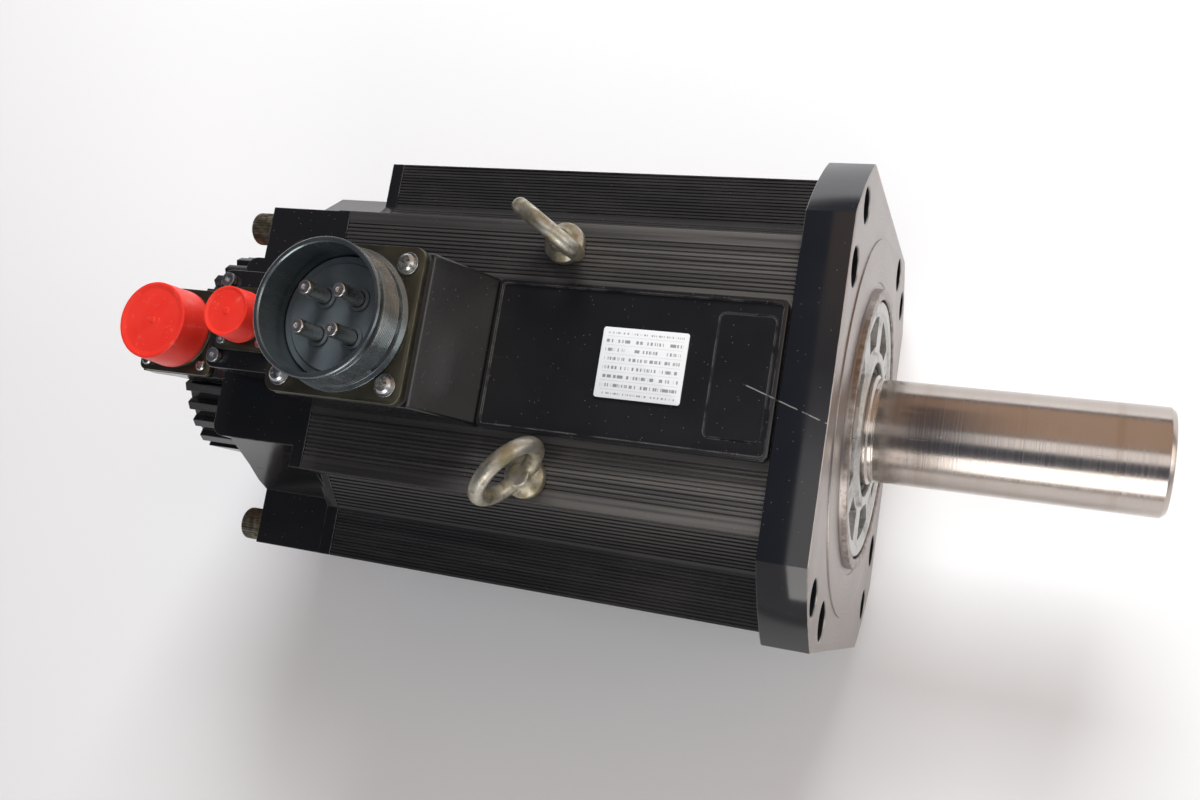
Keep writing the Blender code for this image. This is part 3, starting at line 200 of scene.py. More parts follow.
def quarter_turns(first, second):
    """A point and its copies at 90, 180 and 270 degrees."""
    return [(first, second), (-second, first), (-first, -second), (second, -first)]


def as_object(data, name):
    """A plain object that holds a bmesh, with its normals facing out."""
    bmesh.ops.recalc_face_normals(data, faces=data.faces)
    mesh = bpy.data.meshes.new(name)
    data.to_mesh(mesh)
    data.free()
    made = bpy.data.objects.new(name, mesh)
    bpy.context.scene.collection.objects.link(made)
    return made


def evaluated(made):
    """A bmesh of an object with its modifiers applied; the object is removed."""
    graph = bpy.context.evaluated_depsgraph_get()
    mesh = bpy.data.meshes.new_from_object(made.evaluated_get(graph))
    data = bmesh.new()
    data.from_mesh(mesh)
    bpy.data.meshes.remove(mesh)
    bpy.data.objects.remove(made)
    return data


def carve(body, tool, operation="DIFFERENCE"):
    """Join or cut two bmeshes."""
    made = as_object(body, "carve_body")
    other = as_object(tool, "carve_tool")
    modifier = made.modifiers.new("carve", "BOOLEAN")
    modifier.object = other
    modifier.operation = operation
    modifier.solver = "EXACT"
    bpy.context.view_layer.update()
    data = evaluated(made)
    bpy.data.objects.remove(other)
    return data


def cad_shape(node):
    """A node's solid as a bmesh of flat faces, measured from the hub."""
    data = bmesh.new()
    data.from_mesh(frame["nodes"][node].data)
    bmesh.ops.remove_doubles(data, verts=data.verts, dist=2e-6)
    bmesh.ops.dissolve_limit(data, angle_limit=math.radians(0.6), verts=data.verts, edges=data.edges)
    bmesh.ops.translate(data, verts=data.verts, vec=-HUB)
    return data


def finish_piece(name, data, body, slot, nodes, bevel=0.0, sharp=32.0, segments=2):
    """Make a bmesh into a shown piece that stands for some CAD nodes."""
    made = as_object(data, name)
    made.location = HUB
    made.data.shade_smooth()
    made.data.set_sharp_from_angle(angle=math.radians(sharp))
    if bevel > 0.0:
        modifier = made.modifiers.new("edges", "BEVEL")
        modifier.width = bevel
        modifier.segments = segments
        modifier.limit_method = "ANGLE"
        modifier.angle_limit = math.radians(sharp)
        modifier.harden_normals = True
        modifier.use_clamp_overlap = True
    made.data.materials.append(MATERIALS[slot])
    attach(made, body)
    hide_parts(*nodes)
    return made


# --- materials ---------------------------------------------------------------------------------
class Graph:
    """A small builder for one material's nodes, in object coordinates."""

    def __init__(self, name):
        self.material = bpy.data.materials.new(name)
        self.material.use_nodes = True
        self.tree = self.material.node_tree
        self.shader = self.tree.nodes["Principled BSDF"]
        self.place = self.add("ShaderNodeTexCoord").outputs["Object"]
        split = self.add("ShaderNodeSeparateXYZ", {0: self.place})
        self.x, self.y, self.z = split.outputs

    def add(self, kind, inputs=None, **settings):
        """Add a node, with its settings and the values or sockets for its inputs."""
        node = self.tree.nodes.new(kind)
        for key, value in settings.items():
            setattr(node, key, value)
        for key, value in (inputs or {}).items():
            self.join(value, node.inputs[key])
        return node

    def join(self, value, socket):
        """Link a socket, or set its value."""
        if isinstance(value, bpy.types.NodeSocket):
            self.tree.links.new(value, socket)
        elif isinstance(value, tuple) and len(value) == 3 and socket.type == "RGBA":
            socket.default_value = (*value, 1.0)
        else:
            socket.default_value = value

    def noise(self, scale, detail=4.0, roughness=0.55, stretch=(1.0, 1.0, 1.0), distortion=0.0):
        """Noise from 0 to 1; stretch multiplies the scale along each axis."""
        sized = self.add("ShaderNodeVectorMath", {0: self.place, 1: stretch}, operation="MULTIPLY").outputs[0]
        values = {"Vector": sized, "Scale": scale, "Detail": detail, "Roughness": roughness}
        values["Distortion"] = distortion
        return self.add("ShaderNodeTexNoise", values).outputs["Fac"]

    def pattern(self, first, second, detail):
        """Noise from 0 to 1 over two worked-out coordinates."""
        spot = self.add("ShaderNodeCombineXYZ", {0: first, 1: second}).outputs[0]
        values = {"Vector": spot, "Scale": 1.0, "Detail": detail}
        return self.add("ShaderNodeTexNoise", values).outputs["Fac"]

    def specks(self, scale, size, softness=0.5):
        """1 in small scattered cells, 0 elsewhere."""
        cells = self.add("ShaderNodeTexVoronoi", {"Vector": self.place, "Scale": scale, "Randomness": 1.0})
        return self.ramp(cells.outputs["Distance"], size, size * softness)

    def ramp(self, value, low, high, to_low=0.0, to_high=1.0):
        """Clamped smooth change of a value between two levels."""
        values = {"Value": value, 1: low, 2: high, 3: to_low, 4: to_high}
        return self.add("ShaderNodeMapRange", values, interpolation_type="SMOOTHSTEP").outputs[0]

    def math(self, operation, first, second=0.0):
        """One arithmetic step."""
        return self.add("ShaderNodeMath", {0: first, 1: second}, operation=operation).outputs[0]

    def times(self, first, second):
        """The product of two values."""
        return self.math("MULTIPLY", first, second)

    def spread(self, noise, low, high):
        """Spread a noise's usual range over two values."""
        return self.ramp(noise, 0.3, 0.7, low, high)

    def blend(self, amount, first, second):
        """Mix two colours."""
        node = self.add("ShaderNodeMix", data_type="RGBA")
        self.join(amount, node.inputs[0])
        self.join(first, node.inputs[6])
        self.join(second, node.inputs[7])
        return node.outputs[2]

    def bump(self, height, distance, normal=None):
        """Raise the surface by a height of 0 to 1 times a distance in metres."""
        values = {"Height": height, "Distance": distance, "Strength": 1.0}
        if normal is not None:
            values["Normal"] = normal
        return self.add("ShaderNodeBump", values).outputs[0]

    def edges(self, radius, low=0.02, high=0.25):
        """1 along the piece's outer edges."""
        soft = self.add("ShaderNodeBevel", {"Radius": radius}, samples=6).outputs[0]
        plain = self.add("ShaderNodeNewGeometry").outputs["Normal"]
        same = self.add("ShaderNodeVectorMath", {0: soft, 1: plain}, operation="DOT_PRODUCT").outputs["Value"]
        return self.ramp(self.math("SUBTRACT", 1.0, same), low, high)

    def set(self, **sockets):
        """Set the shader's sockets by name."""
        names = {"colour": "Base Color", "rough": "Roughness", "metal": "Metallic", "normal": "Normal"}
        names |= {"specular": "Specular IOR Level", "sub": "Subsurface Weight"}
        for key, value in sockets.items():
            self.join(value, self.shader.inputs[names[key]])
        return self.material


def window(g, value, low, high, soft):
    """1 between two levels, fading out over a soft edge."""
    rise = g.ramp(value, low - soft, low + soft)
    fall = g.ramp(value, high - soft, high + soft, 1.0, 0.0)
    return g.times(rise, fall)


def scratch(g):
    """A long fine scratch across the cover's front corner and on over the flange's edge."""
    start, end = Vector(SCRATCH_START), Vector(SCRATCH_END)
    along = (end - start).normalized()
    east = g.math("SUBTRACT", g.x, start.x)
    north = g.math("SUBTRACT", g.y, start.y)
    run = g.math("ADD", g.times(east, along.x), g.times(north, along.y))
    off = g.math("SUBTRACT", g.times(east, along.y), g.times(north, along.x))
    off = g.math("ADD", off, g.times(g.math("SUBTRACT", g.noise(90.0), 0.5), 0.0006))
    line = g.ramp(g.math("ABSOLUTE", off), 0.00010, 0.00028, 1.0, 0.0)
    line = g.times(line, window(g, run, 0.0, (end - start).length, 0.001))
    line = g.times(line, g.ramp(g.noise(350.0), 0.40, 0.52))
    return g.times(line, g.ramp(g.z, 0.084, 0.086, 0.0, 0.5))


def black_paint():
    """Glossy black enamel with fine orange peel, dust specks, and lighter edges that are partly rubbed wear
    and partly a painted edge highlight.
    """
    g = Graph("black_paint")
    dust = g.specks(420.0, 0.10)
    smear = g.noise(28.0, 5.0)
    scuffs = g.ramp(g.noise(160.0, 3.0, stretch=(0.25, 1.0, 1.0)), 0.66, 0.74)
    # Lighter along the outer edges: partly rubbed paint, partly a painted edge highlight.
    bright_edges = g.times(g.edges(0.0008), g.ramp(g.noise(120.0), 0.38, 0.56))
    base = g.blend(smear, (0.0070, 0.0072, 0.0085), (0.0125, 0.012, 0.0125))
    base = g.blend(g.times(dust, 0.35), base, (0.30, 0.27, 0.24))
    base = g.blend(g.times(bright_edges, 0.50), base, (0.36, 0.35, 0.34))
    base = g.blend(scratch(g), base, SCRATCH_COLOUR)
    rough = g.ramp(smear, 0.30, 0.75, 0.15, 0.26)
    rough = g.math("ADD", rough, g.times(scuffs, 0.10))
    peel = g.bump(g.noise(900.0, 2.0), 0.000025)
    return g.set(colour=base, rough=rough, normal=peel, specular=0.55)


def black_anodised():
    """Satin black extrusion with drawing lines along x, pale dust, bright ridges that are partly worn and
    partly a painted highlight, and a painted sheen on the top faces near the flange.
    """
    g = Graph("black_anodised")
    lines = g.noise(520.0, 3.0, stretch=(0.012, 1.0, 1.0))
    patches = g.noise(22.0, 4.0)
    # Lighter along the groove edges: partly rubbed wear, partly a painted highlight on the ridge crowns.
    bright_edges = g.times(g.edges(0.0004), g.ramp(g.noise(150.0, stretch=(0.2, 1.0, 1.0)), 0.45, 0.60))
    dust = g.specks(380.0, 0.085)
    base = g.blend(lines, (0.012, 0.0118, 0.0125), (0.036, 0.035, 0.036))
    base = g.blend(g.times(g.ramp(patches, 0.50, 0.75), 0.4), base, (0.058, 0.053, 0.050))
    # Painted sheen: the top faces near the flange are made lighter, a painted reflection of the light on the
    # grooved strips.
    painted_sheen = g.times(g.ramp(g.x, -0.17, -0.04, 0.25, 1.0), g.ramp(g.z, 0.0500, 0.0852))
    painted_sheen = g.times(painted_sheen, g.ramp(lines, 0.35, 0.65, 0.35, 1.0))
    base = g.blend(painted_sheen, base, (0.105, 0.098, 0.093))
    base = g.blend(g.times(bright_edges, 0.35), base, (0.22, 0.20, 0.19))
    base = g.blend(g.times(dust, 0.35), base, (0.36, 0.31, 0.27))
    rough = g.spread(lines, 0.27, 0.40)
    return g.set(colour=base, rough=rough, normal=g.bump(lines, 0.00003), specular=0.6)


def flange_metal():
    """Bare turned metal on the front, black paint on the edges and rear, chipped where they meet."""
    g = Graph("flange_metal")
    ragged = g.times(g.math("SUBTRACT", g.noise(180.0), 0.5), 0.0004)
    depth = g.math("ADD", g.x, ragged)
    bare = g.ramp(depth, -0.0005, -0.0003)
    radius = g.math("SQRT", g.math("ADD", g.times(g.y, g.y), g.times(g.z, g.z)))
    inner = g.ramp(radius, 0.0585, 0.0580)
    bare = g.math("MAXIMUM", bare, inner)
    chips = g.times(g.edges(0.0006), g.ramp(g.noise(60.0, 5.0), 0.66, 0.70))
    bare = g.math("MAXIMUM", bare, chips)
    rings = g.pattern(g.times(radius, 2400.0), 0.0, 2.0)
    stain = g.noise(35.0, 6.0, 0.65)
    pits = g.ramp(g.noise(700.0, 3.0), 0.62, 0.72)
    metal = g.blend(stain, (0.30, 0.268, 0.252), (0.44, 0.405, 0.39))
    metal = g.blend(g.times(pits, 0.45), metal, (0.16, 0.13, 0.11))
    rusty = g.times(g.ramp(g.x, 0.0008, 0.0015), g.ramp(g.noise(260.0, 4.0), 0.35, 0.65))
    metal = g.blend(g.times(rusty, 0.7), metal, (0.17, 0.12, 0.09))
    smear = g.noise(28.0, 5.0)
    dust = g.specks(330.0, 0.08)
    paint = g.blend(smear, (0.0075, 0.0085, 0.0115), (0.013, 0.0135, 0.016))
    paint = g.blend(g.times(dust, 0.30), paint, (0.30, 0.28, 0.26))
    paint = g.blend(scratch(g), paint, SCRATCH_COLOUR)
    colour = g.blend(bare, paint, metal)
    paint_rough = g.ramp(smear, 0.30, 0.75, 0.09, 0.18)
    metal_rough = g.spread(rings, 0.30, 0.46)
    mixed = g.add("ShaderNodeMix", {0: bare, 2: paint_rough, 3: metal_rough}).outputs[0]
    height = g.times(rings, bare)
    return g.set(colour=colour, rough=mixed, metal=bare, normal=g.bump(height, 0.00002), specular=0.55)


def cast_aluminium():
    """Bright sand-cast surface with grains and scattered patches of grime."""
    g = Graph("cast_aluminium")
    grain = g.noise(900.0, 3.0, 0.7)
    grime = g.ramp(g.noise(110.0, 5.0), 0.48, 0.70)
    base = g.blend(grain, (0.36, 0.36, 0.35), (0.74, 0.73, 0.71))
    base = g.blend(g.times(grime, 0.55), base, (0.10, 0.09, 0.08))
    rough = g.spread(grain, 0.34, 0.52)
    return g.set(colour=base, rough=rough, metal=0.9, normal=g.bump(grain, 0.00025))


def shaft_steel():
    """Ground steel with fine turning rings and warm oil stains."""
    g = Graph("shaft_steel")
    rings = g.noise(1500.0, 3.0, stretch=(1.0, 0.004, 0.004))
    bands = g.noise(60.0, 3.0, stretch=(1.0, 0.03, 0.03))
    stain = g.noise(24.0, 6.0, 0.6, distortion=0.6)
    base = g.blend(stain, (0.44, 0.385, 0.345), (0.56, 0.51, 0.475))
    base = g.blend(g.times(g.ramp(bands, 0.50, 0.72), 0.40), base, (0.36, 0.28, 0.22))
    scratches = g.ramp(g.noise(700.0, 2.0, stretch=(0.04, 1.0, 1.0)), 0.70, 0.76)
    rough = g.spread(rings, 0.16, 0.27)
    rough = g.math("ADD", rough, g.times(scratches, 0.15))
    return g.set(colour=base, rough=rough, metal=1.0, normal=g.bump(rings, 0.000012))


def zinc_yellow():
    """Old yellow zinc: pale worn metal, olive film and brown dirt."""
    g = Graph("zinc_yellow")
    film = g.noise(130.0, 6.0, 0.6)
    dirt = g.ramp(g.noise(220.0, 5.0), 0.52, 0.70)
    base = g.blend(g.ramp(film, 0.35, 0.65), (0.30, 0.265, 0.17), (0.52, 0.50, 0.44))
    base = g.blend(g.times(dirt, 0.6), base, (0.12, 0.09, 0.045))
    soiled = g.times(g.ramp(g.x, -0.20, -0.23), g.ramp(g.noise(400.0, 4.0), 0.30, 0.62, 0.45, 1.0))
    base = g.blend(soiled, base, (0.105, 0.090, 0.058))
    fine = g.noise(1300.0, 3.0)
    rough = g.spread(film, 0.52, 0.34)
    return g.set(colour=base, rough=rough, metal=0.85, normal=g.bump(fine, 0.00006))


def olive_plate():
    """Blue-grey polished shells on dark olive flanges, rubbed to bare metal along their edges."""
    g = Graph("olive_plate")
    film = g.noise(90.0, 5.0)
    shell = g.ramp(g.z, 0.1266, 0.1274)
    streaks = g.noise(160.0, 4.0, stretch=(1.0, 1.0, 0.15))
    bright_edges = g.times(g.edges(0.0006), g.ramp(g.noise(190.0), 0.40, 0.56))
    flange = g.blend(film, (0.070, 0.066, 0.047), (0.150, 0.140, 0.100))
    barrel = g.blend(streaks, (0.120, 0.150, 0.165), (0.260, 0.285, 0.290))
    base = g.blend(shell, flange, barrel)
    base = g.blend(g.times(bright_edges, 0.7), base, (0.52, 0.49, 0.42))
    grit = g.noise(1100.0, 3.0)
    flange_rough, barrel_rough = g.spread(film, 0.34, 0.48), g.spread(streaks, 0.16, 0.30)
    rough = g.add("ShaderNodeMix", {0: shell, 2: flange_rough, 3: barrel_rough})
    return g.set(colour=base, rough=rough.outputs[0], metal=0.9, normal=g.bump(grit, 0.00004))


def insulator_grey():
    """Moulded slate-grey insulator with dust."""
    g = Graph("insulator_grey")
    cloud = g.noise(160.0, 4.0)
    dust = g.specks(600.0, 0.10)
    base = g.blend(cloud, (0.075, 0.095, 0.11), (0.12, 0.145, 0.16))
    base = g.blend(g.times(dust, 0.4), base, (0.5, 0.48, 0.45))
    return g.set(colour=base, rough=g.spread(cloud, 0.38, 0.52), normal=g.bump(cloud, 0.00004))


def bright_metal(name, dark, light, low, high, scale=500.0):
    """Plated or polished metal with light tarnish."""
    g = Graph(name)
    film = g.noise(scale, 4.0)
    tarnish = g.ramp(g.noise(scale * 0.4, 4.0), 0.50, 0.72)
    base = g.blend(film, dark, light)
    base = g.blend(g.times(tarnish, 0.35), base, tuple(value * 0.45 for value in dark))
    rough = g.spread(film, low, high)
    return g.set(colour=base, rough=rough, metal=1.0, normal=g.bump(film, 0.00002))


def matte(name, dark, light, low, high, grain=700.0, depth=0.00005, metal=0.0):
    """Rubber, plastic or varnish with a fine grain."""
    g = Graph(name)
    fine = g.noise(grain, 3.0)
    cloud = g.noise(grain * 0.1, 4.0)
    base = g.blend(cloud, dark, light)
    dust = g.specks(500.0, 0.07)
    base = g.blend(g.times(dust, 0.2), base, tuple(min(1.0, value + 0.25) for value in light))
    rough = g.spread(fine, low, high)
    return g.set(colour=base, rough=rough, metal=metal, normal=g.bump(fine, depth))


def red_cap():
    """Soft red polythene, slightly clouded, with dust and rub marks."""
    g = Graph("red_cap")
    cloud = g.noise(120.0, 4.0)
    rubs = g.ramp(g.noise(260.0, 4.0, stretch=(1.0, 1.0, 0.3)), 0.60, 0.72)
    dust = g.specks(460.0, 0.09)
    base = g.blend(cloud, (0.74, 0.022, 0.014), (0.86, 0.045, 0.028))
    base = g.blend(g.times(rubs, 0.15), base, (0.90, 0.30, 0.24))
    base = g.blend(g.times(dust, 0.5), base, (0.95, 0.62, 0.55))
    fine = g.noise(1500.0, 2.0)
    rough = g.spread(cloud, 0.34, 0.46)
    return g.set(colour=base, rough=rough, normal=g.bump(fine, 0.00003), sub=0.08)


def label_white():
    """White printed plate: ruled lines and rows of dashes that stand for print."""
    low, high = around_hub("nameplate")
    g = Graph("label_white")
    across = g.add("ShaderNodeMapRange", {"Value": g.x, 1: low.x, 2: high.x}, clamp=False).outputs[0]
    down = g.add("ShaderNodeMapRange", {"Value": g.y, 1: high.y, 2: low.y}, clamp=False).outputs[0]
    rows = g.times(down, 8.0)
    row = g.math("FLOOR", rows)
    inside = g.math("FRACT", rows)
    band = g.times(g.ramp(inside, 0.34, 0.40), g.ramp(inside, 0.76, 0.70))
    cells = g.pattern(g.times(across, 46.0), g.times(row, 7.3), 1.5)
    dashes = g.times(g.ramp(cells, 0.50, 0.54), band)
    sides = g.times(g.ramp(across, 0.05, 0.06), g.ramp(across, 0.95, 0.94))
    ends = g.times(g.ramp(down, 0.06, 0.07), g.ramp(down, 0.95, 0.94))
    margin = g.times(sides, ends)
    ruled = g.times(g.ramp(inside, 0.05, 0.03), 0.35)
    print_mask = g.times(g.math("MAXIMUM", g.times(dashes, 0.75), ruled), margin)
    cloud = g.noise(90.0, 3.0)
    base = g.blend(cloud, (0.66, 0.68, 0.70), (0.76, 0.77, 0.78))
    base = g.blend(print_mask, base, (0.10, 0.10, 0.11))
    rough = g.spread(cloud, 0.28, 0.38)
    return g.set(colour=base, rough=rough, metal=0.0, specular=0.5)


def make_materials():
    """Every material by its slot's name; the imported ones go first, so that their names are free."""
    for packed in list(bpy.data.materials):
        bpy.data.materials.remove(packed)
    made = [black_paint(), black_anodised(), flange_metal(), cast_aluminium(), shaft_steel(), zinc_yellow()]
    made += [olive_plate(), insulator_grey(), red_cap(), label_white()]
    made += [
        bright_metal("silver_pin", (0.60, 0.57, 0.52), (0.84, 0.82, 0.79), 0.22, 0.36),
        bright_metal("screw_steel", (0.46, 0.46, 0.45), (0.72, 0.72, 0.71), 0.22, 0.38),
        bright_metal("bearing_steel", (0.50, 0.50, 0.52), (0.66, 0.66, 0.68), 0.10, 0.22),
        bright_metal("ball_cage_steel", (0.44, 0.39, 0.30), (0.60, 0.55, 0.44), 0.24, 0.38),
        bright_metal("lamination_steel", (0.16, 0.16, 0.18), (0.28, 0.28, 0.31), 0.38, 0.55),
        bright_metal("copper_winding", (0.42, 0.16, 0.06), (0.62, 0.28, 0.12), 0.30, 0.45),
        matte("black_rubber", (0.014, 0.014, 0.014), (0.030, 0.029, 0.028), 0.55, 0.75),
        matte("fan_plastic", (0.012, 0.012, 0.012), (0.024, 0.023, 0.022), 0.42, 0.58),
        matte("encoder_glass", (0.45, 0.50, 0.50), (0.55, 0.60, 0.60), 0.06, 0.12, depth=0.00001),
    ]
    return {material.name: material for material in made}


MATERIALS = make_materials()


def dress_nodes():
    """Give every CAD node the material of its slot."""
    for part in frame["record"]["subparts"]:
        mesh = frame["nodes"][part["node"]].data
        mesh.materials.clear()
        mesh.materials.append(MATERIALS[part["material_slot"]])


# --- turned and flanged pieces -----------------------------------------------------------------
def build_shaft():
    """Ground shaft: stepped inside, plain outside, with a relief at the shoulder and a centre."""
    profile = [
        (-0.256, 0.0, 0.0),
        (-0.256, 0.006),
        (-0.2435, 0.006),
        (-0.2435, 0.011),
        (-0.2255, 0.011),
        (-0.2255, 0.0175),
        (-0.2055, 0.0175),
        (-0.2055, 0.026),
        (-0.0325, 0.026),
        (-0.0325, 0.0225),
        (0.0036, 0.0225),
        (0.0044, 0.0214),
        (0.0058, 0.0214),
        (0.0058, 0.0207),
        (0.0070, 0.0207),
        (0.0070, 0.0210),
        (0.1112, 0.0210),
        (0.1130, 0.0196),
        (0.1130, 0.0052),
        (0.1095, 0.0022),
        (0.1060, 0.0020),
        (0.1060, 0.0, 0.0),
    ]
    data = lathe(profile, steps=128, radius=0.00025)
    finish_piece("output_shaft", data, "rotor", "shaft_steel", ["shaft"])


def drill(centres, radius, low, high, rim=0.0006, steps=40):
    """Cutters for round holes with a chamfer at their front rim."""
    data = bmesh.new()
    for y, z in centres:
        profile = [
            (low, 0.0),
            (low, radius),
            (high - rim, radius),
            (high + 0.0004, radius + rim + 0.0004),
            (0.02, radius + rim + 0.0004),
            (0.02, 0.0),
        ]
        add_lathe(data, profile, centre=(0.0, y, z), steps=steps)
    return data


def flange_outline(half, radius, steps=20):
    """Square whose corners are arcs about the shaft axis."""
    start = math.acos(half / radius)
    sweep = math.pi / 2 - 2.0 * start
    angles = [start + sweep * step / steps for step in range(steps + 1)]
    turns = [quarter_turns(radius * math.cos(a), radius * math.sin(a)) for a in angles]
    return [spots[turn] for turn in range(4) for spots in turns]


def build_front_bracket():
    """Square flange with eight holes, a raised pad, the pilot ring and the bearing seat."""
    square = flange_outline(FLANGE_HALF, FLANGE_CORNER_R)
    plate = prism(square, -FLANGE_DEPTH, 0.0, bevel=0.0007, segments=3)
    boss = [
        (-0.034, 0.0),
        (-0.034, 0.0505),
        (-0.024, 0.0505),
        (-0.024, 0.0697),
        (-0.0108, 0.0697),
        (-0.0108, 0.0771, 0.0),
        (0.0006, 0.0771),
        (0.0006, 0.0600),
        (-0.0006, 0.0592),
        (-0.0006, 0.0574),
        (0.0032, 0.05715, 0.0006),
        (0.0032, 0.0, 0.0),
    ]
    solid = carve(plate, lathe(boss, steps=160, radius=0.0002), "UNION")
    bore = [
        (-0.044, 0.0),
        (-0.044, 0.04253),
        (-0.0125, 0.04253),
        (-0.0125, 0.0375),
        (-0.0063, 0.0375),
        (-0.0063, 0.0530),
        (0.0026, 0.0530),
        (0.0036, 0.0540),
        (0.010, 0.0540),
        (0.010, 0.0),
    ]
    solid = carve(solid, lathe(bore, steps=160))
    reach = HOLE_CIRCLE_R / math.sqrt(2.0)
    solid = carve(solid, drill(quarter_turns(reach, reach), HOLE_R, -0.03, 0.0))
    ports = quarter_turns(*TIE_BOLT)
    solid = carve(solid, drill(ports, 0.0074, -0.009, 0.0))
    tapped = bmesh.new()
    for centre in ports:
        add_prism(tapped, circle(TIE_BOLT_BORE_R, centre, 24), -0.03, -0.005)
    solid = carve(solid, tapped)
    finish_piece("front_flange", solid, "housing", "flange_metal", ["front_bracket"], sharp=24.0)


def arc(radius, start, end, steps):
    """Points along an arc, angles in degrees."""
    angles = [math.radians(start + (end - start) * step / steps) for step in range(steps + 1)]
    return [(radius * math.cos(a), radius * math.sin(a)) for a in angles]


def build_retainer():
    """Cast ring with a rim, a hub and eight ribs between tapered pockets."""
    profile = [
        (-0.0060, 0.0275),
        (0.0026, 0.0275),
        (0.0030, 0.0279),
        (0.0030, 0.0312),
        (0.0014, 0.0322),
        (0.0014, 0.0470),
        (0.0024, 0.0480),
        (0.0024, 0.0516),
        (0.0018, 0.0522),
        (-0.0060, 0.0522),
    ]
    ring = lathe(profile, steps=128, radius=0.0005, closed=True)
    pockets = bmesh.new()
    for index in range(8):
        start = index * 45.0 + 9.0
        outer = arc(0.0462, start + 3.5, start + 33.5, 8)
        inner = arc(0.0338, start + 31.0, start + 6.0, 6)
        outline = fillet(outer + inner, 0.0022, steps=4)
        add_prism(pockets, outline, -0.0042, 0.01)
    ring = carve(ring, pockets)
    finish_piece("bearing_cap_ring", ring, "housing", "cast_aluminium", ["bearing_retainer"], bevel=0.0004)


def build_seal():
    """Rubber lip seal round the journal."""
    profile = [
        (-0.0055, 0.0226),
        (-0.0030, 0.0240),
        (0.0006, 0.0234),
        (0.0012, 0.0228),
        (0.0015, 0.0234),
        (0.0015, 0.0250),
        (0.0004, 0.0256),
        (0.0004, 0.0266),
        (0.0015, 0.0272),
        (-0.0058, 0.0272),
        (-0.0058, 0.0240),
    ]
    data = lathe(profile, steps=96, radius=0.0002, closed=True)
    finish_piece("shaft_seal", data, "housing", "black_rubber", ["oil_seal"])


# --- body --------------------------------------------------------------------------------------
def ridges(start, end, first, last, count, depth):
    """Points of fine square grooves with soft crowns along one flat, between two distances."""
    start, end = Vector(start), Vector(end)
    along = (end - start).normalized()
    inward = Vector((-along.y, along.x))
    pitch = (last - first) / count
    shape = ((0.08, 0.10), (0.14, 0.55), (0.20, 0.95), (0.42, 1.0), (0.48, 0.55), (0.54, 0.10), (0.60, 0.0))
    points = []
    for index in range(count):
        for offset, share in shape:
            spot = start + along * (first + pitch * (index + offset)) + inward * (depth * share)
            points.append(tuple(spot))
    return points


def frame_side(flanks):
    """One quarter of the body's section, from the corner notch's chamfer round to the next."""
    top, edge, chamfer = 0.086, 0.0534, 0.066
    slope = math.hypot(chamfer - edge, chamfer - edge)
    points = [(chamfer, edge)]
    points += ridges((chamfer, edge), (edge, chamfer), 0.0008, slope - 0.0008, 9, 0.0005)
    points.append((edge, chamfer))
    if flanks:
        points += ridges((edge, chamfer), (edge, top), 0.0012, 0.0195, 14, 0.0006)
    points += fillet([(edge, top - 0.0006), (edge, top), (edge - 0.0006, top)], 0.0005, closed=False)
    points += ridges((edge, top), (-edge, top), 0.0048, 0.0226, 11, 0.0006)
    points += ridges((edge, top), (-edge, top), 2 * edge - 0.0226, 2 * edge - 0.0048, 11, 0.0006)
    points += fillet([(-edge + 0.0006, top), (-edge, top), (-edge, top - 0.0006)], 0.0005, closed=False)
    if flanks:
        length = top - chamfer
        points += ridges((-edge, top), (-edge, chamfer), length - 0.0195, length - 0.0012, 14, 0.0006)
    points.append((-edge, chamfer))
    return points


def build_stator_frame():
    """Extruded body: grooved strips, grooved corner notches, bored for the core."""
    outline = []
    for turn in range(4):
        cosine, sine = round(math.cos(turn * math.pi / 2)), round(math.sin(turn * math.pi / 2))
        side = frame_side(flanks=turn % 2 == 1)
        outline += [(y * cosine - z * sine, y * sine + z * cosine) for y, z in side]
    low, high = around_hub("stator_frame")
    data = prism(outline, low.x, high.x)
    bores = bmesh.new()
    add_prism(bores, circle(0.070, steps=96), low.x - 0.01, high.x + 0.01)
    for centre in quarter_turns(*TIE_BOLT):
        add_prism(bores, circle(TIE_BOLT_BORE_R, centre, 24), low.x - 0.01, high.x + 0.01)
    data = carve(data, bores)
    finish_piece("grooved_body", data, "housing", "black_anodised", ["stator_frame"], sharp=20.0)


def refine(name, node, body, slot, bevel, segments=3, sharp=32.0):
    """A cast piece with rounded edges on its CAD node's own form."""
    finish_piece(name, cad_shape(node), body, slot, [node], bevel, sharp, segments)


# --- connectors --------------------------------------------------------------------------------
def square_spots(centre_x, half):
    """Four corner spots of a square about a connector's axis."""
    return [(centre_x + dx * half, dy * half) for dx in (-1.0, 1.0) for dy in (-1.0, 1.0)]


def receptacle(name, node, centre_x, side, half, hole_r, profile, plate, radius):
    """Square flange with rounded corners and a turned shell standing on it."""
    low, high = plate
    outline = rectangle(side / 2, side / 2, radius, (centre_x, 0.0), 8)
    solid = prism(outline, low, high, Z_AXIS, bevel=0.0004)
    barrel = lathe(profile, Z_AXIS, (centre_x, 0.0, 0.0), 96, 0.0002, closed=True)
    solid = carve(solid, barrel, "UNION")
    floor = profile[0][0]
    bore = bmesh.new()
    inner = min(point[1] for point in profile)
    add_prism(bore, circle(inner - 0.00002, (centre_x, 0.0), 96), floor - 0.0004, high + 0.001, Z_AXIS)
    solid = carve(solid, bore)
    holes = bmesh.new()
    for spot in square_spots(centre_x, half):
        add_prism(holes, circle(hole_r, spot, 24), low - 0.01, high + 0.01, Z_AXIS)
    solid = carve(solid, holes)
    finish_piece(name, solid, "housing", "olive_plate", [node])


def threads(low, high, pitch, outer, depth):
    """Profile points of fine rounded threads, from low to high."""
    count = int((high - low) / pitch)
    points = []
    for index in range(count):
        base = low + pitch * index
        points += [(base + pitch * 0.15, outer - depth, 0.0), (base + pitch * 0.5, outer, 0.0)]
        points += [(base + pitch * 0.7, outer, 0.0), (base + pitch, outer - depth, 0.0)]
    return points


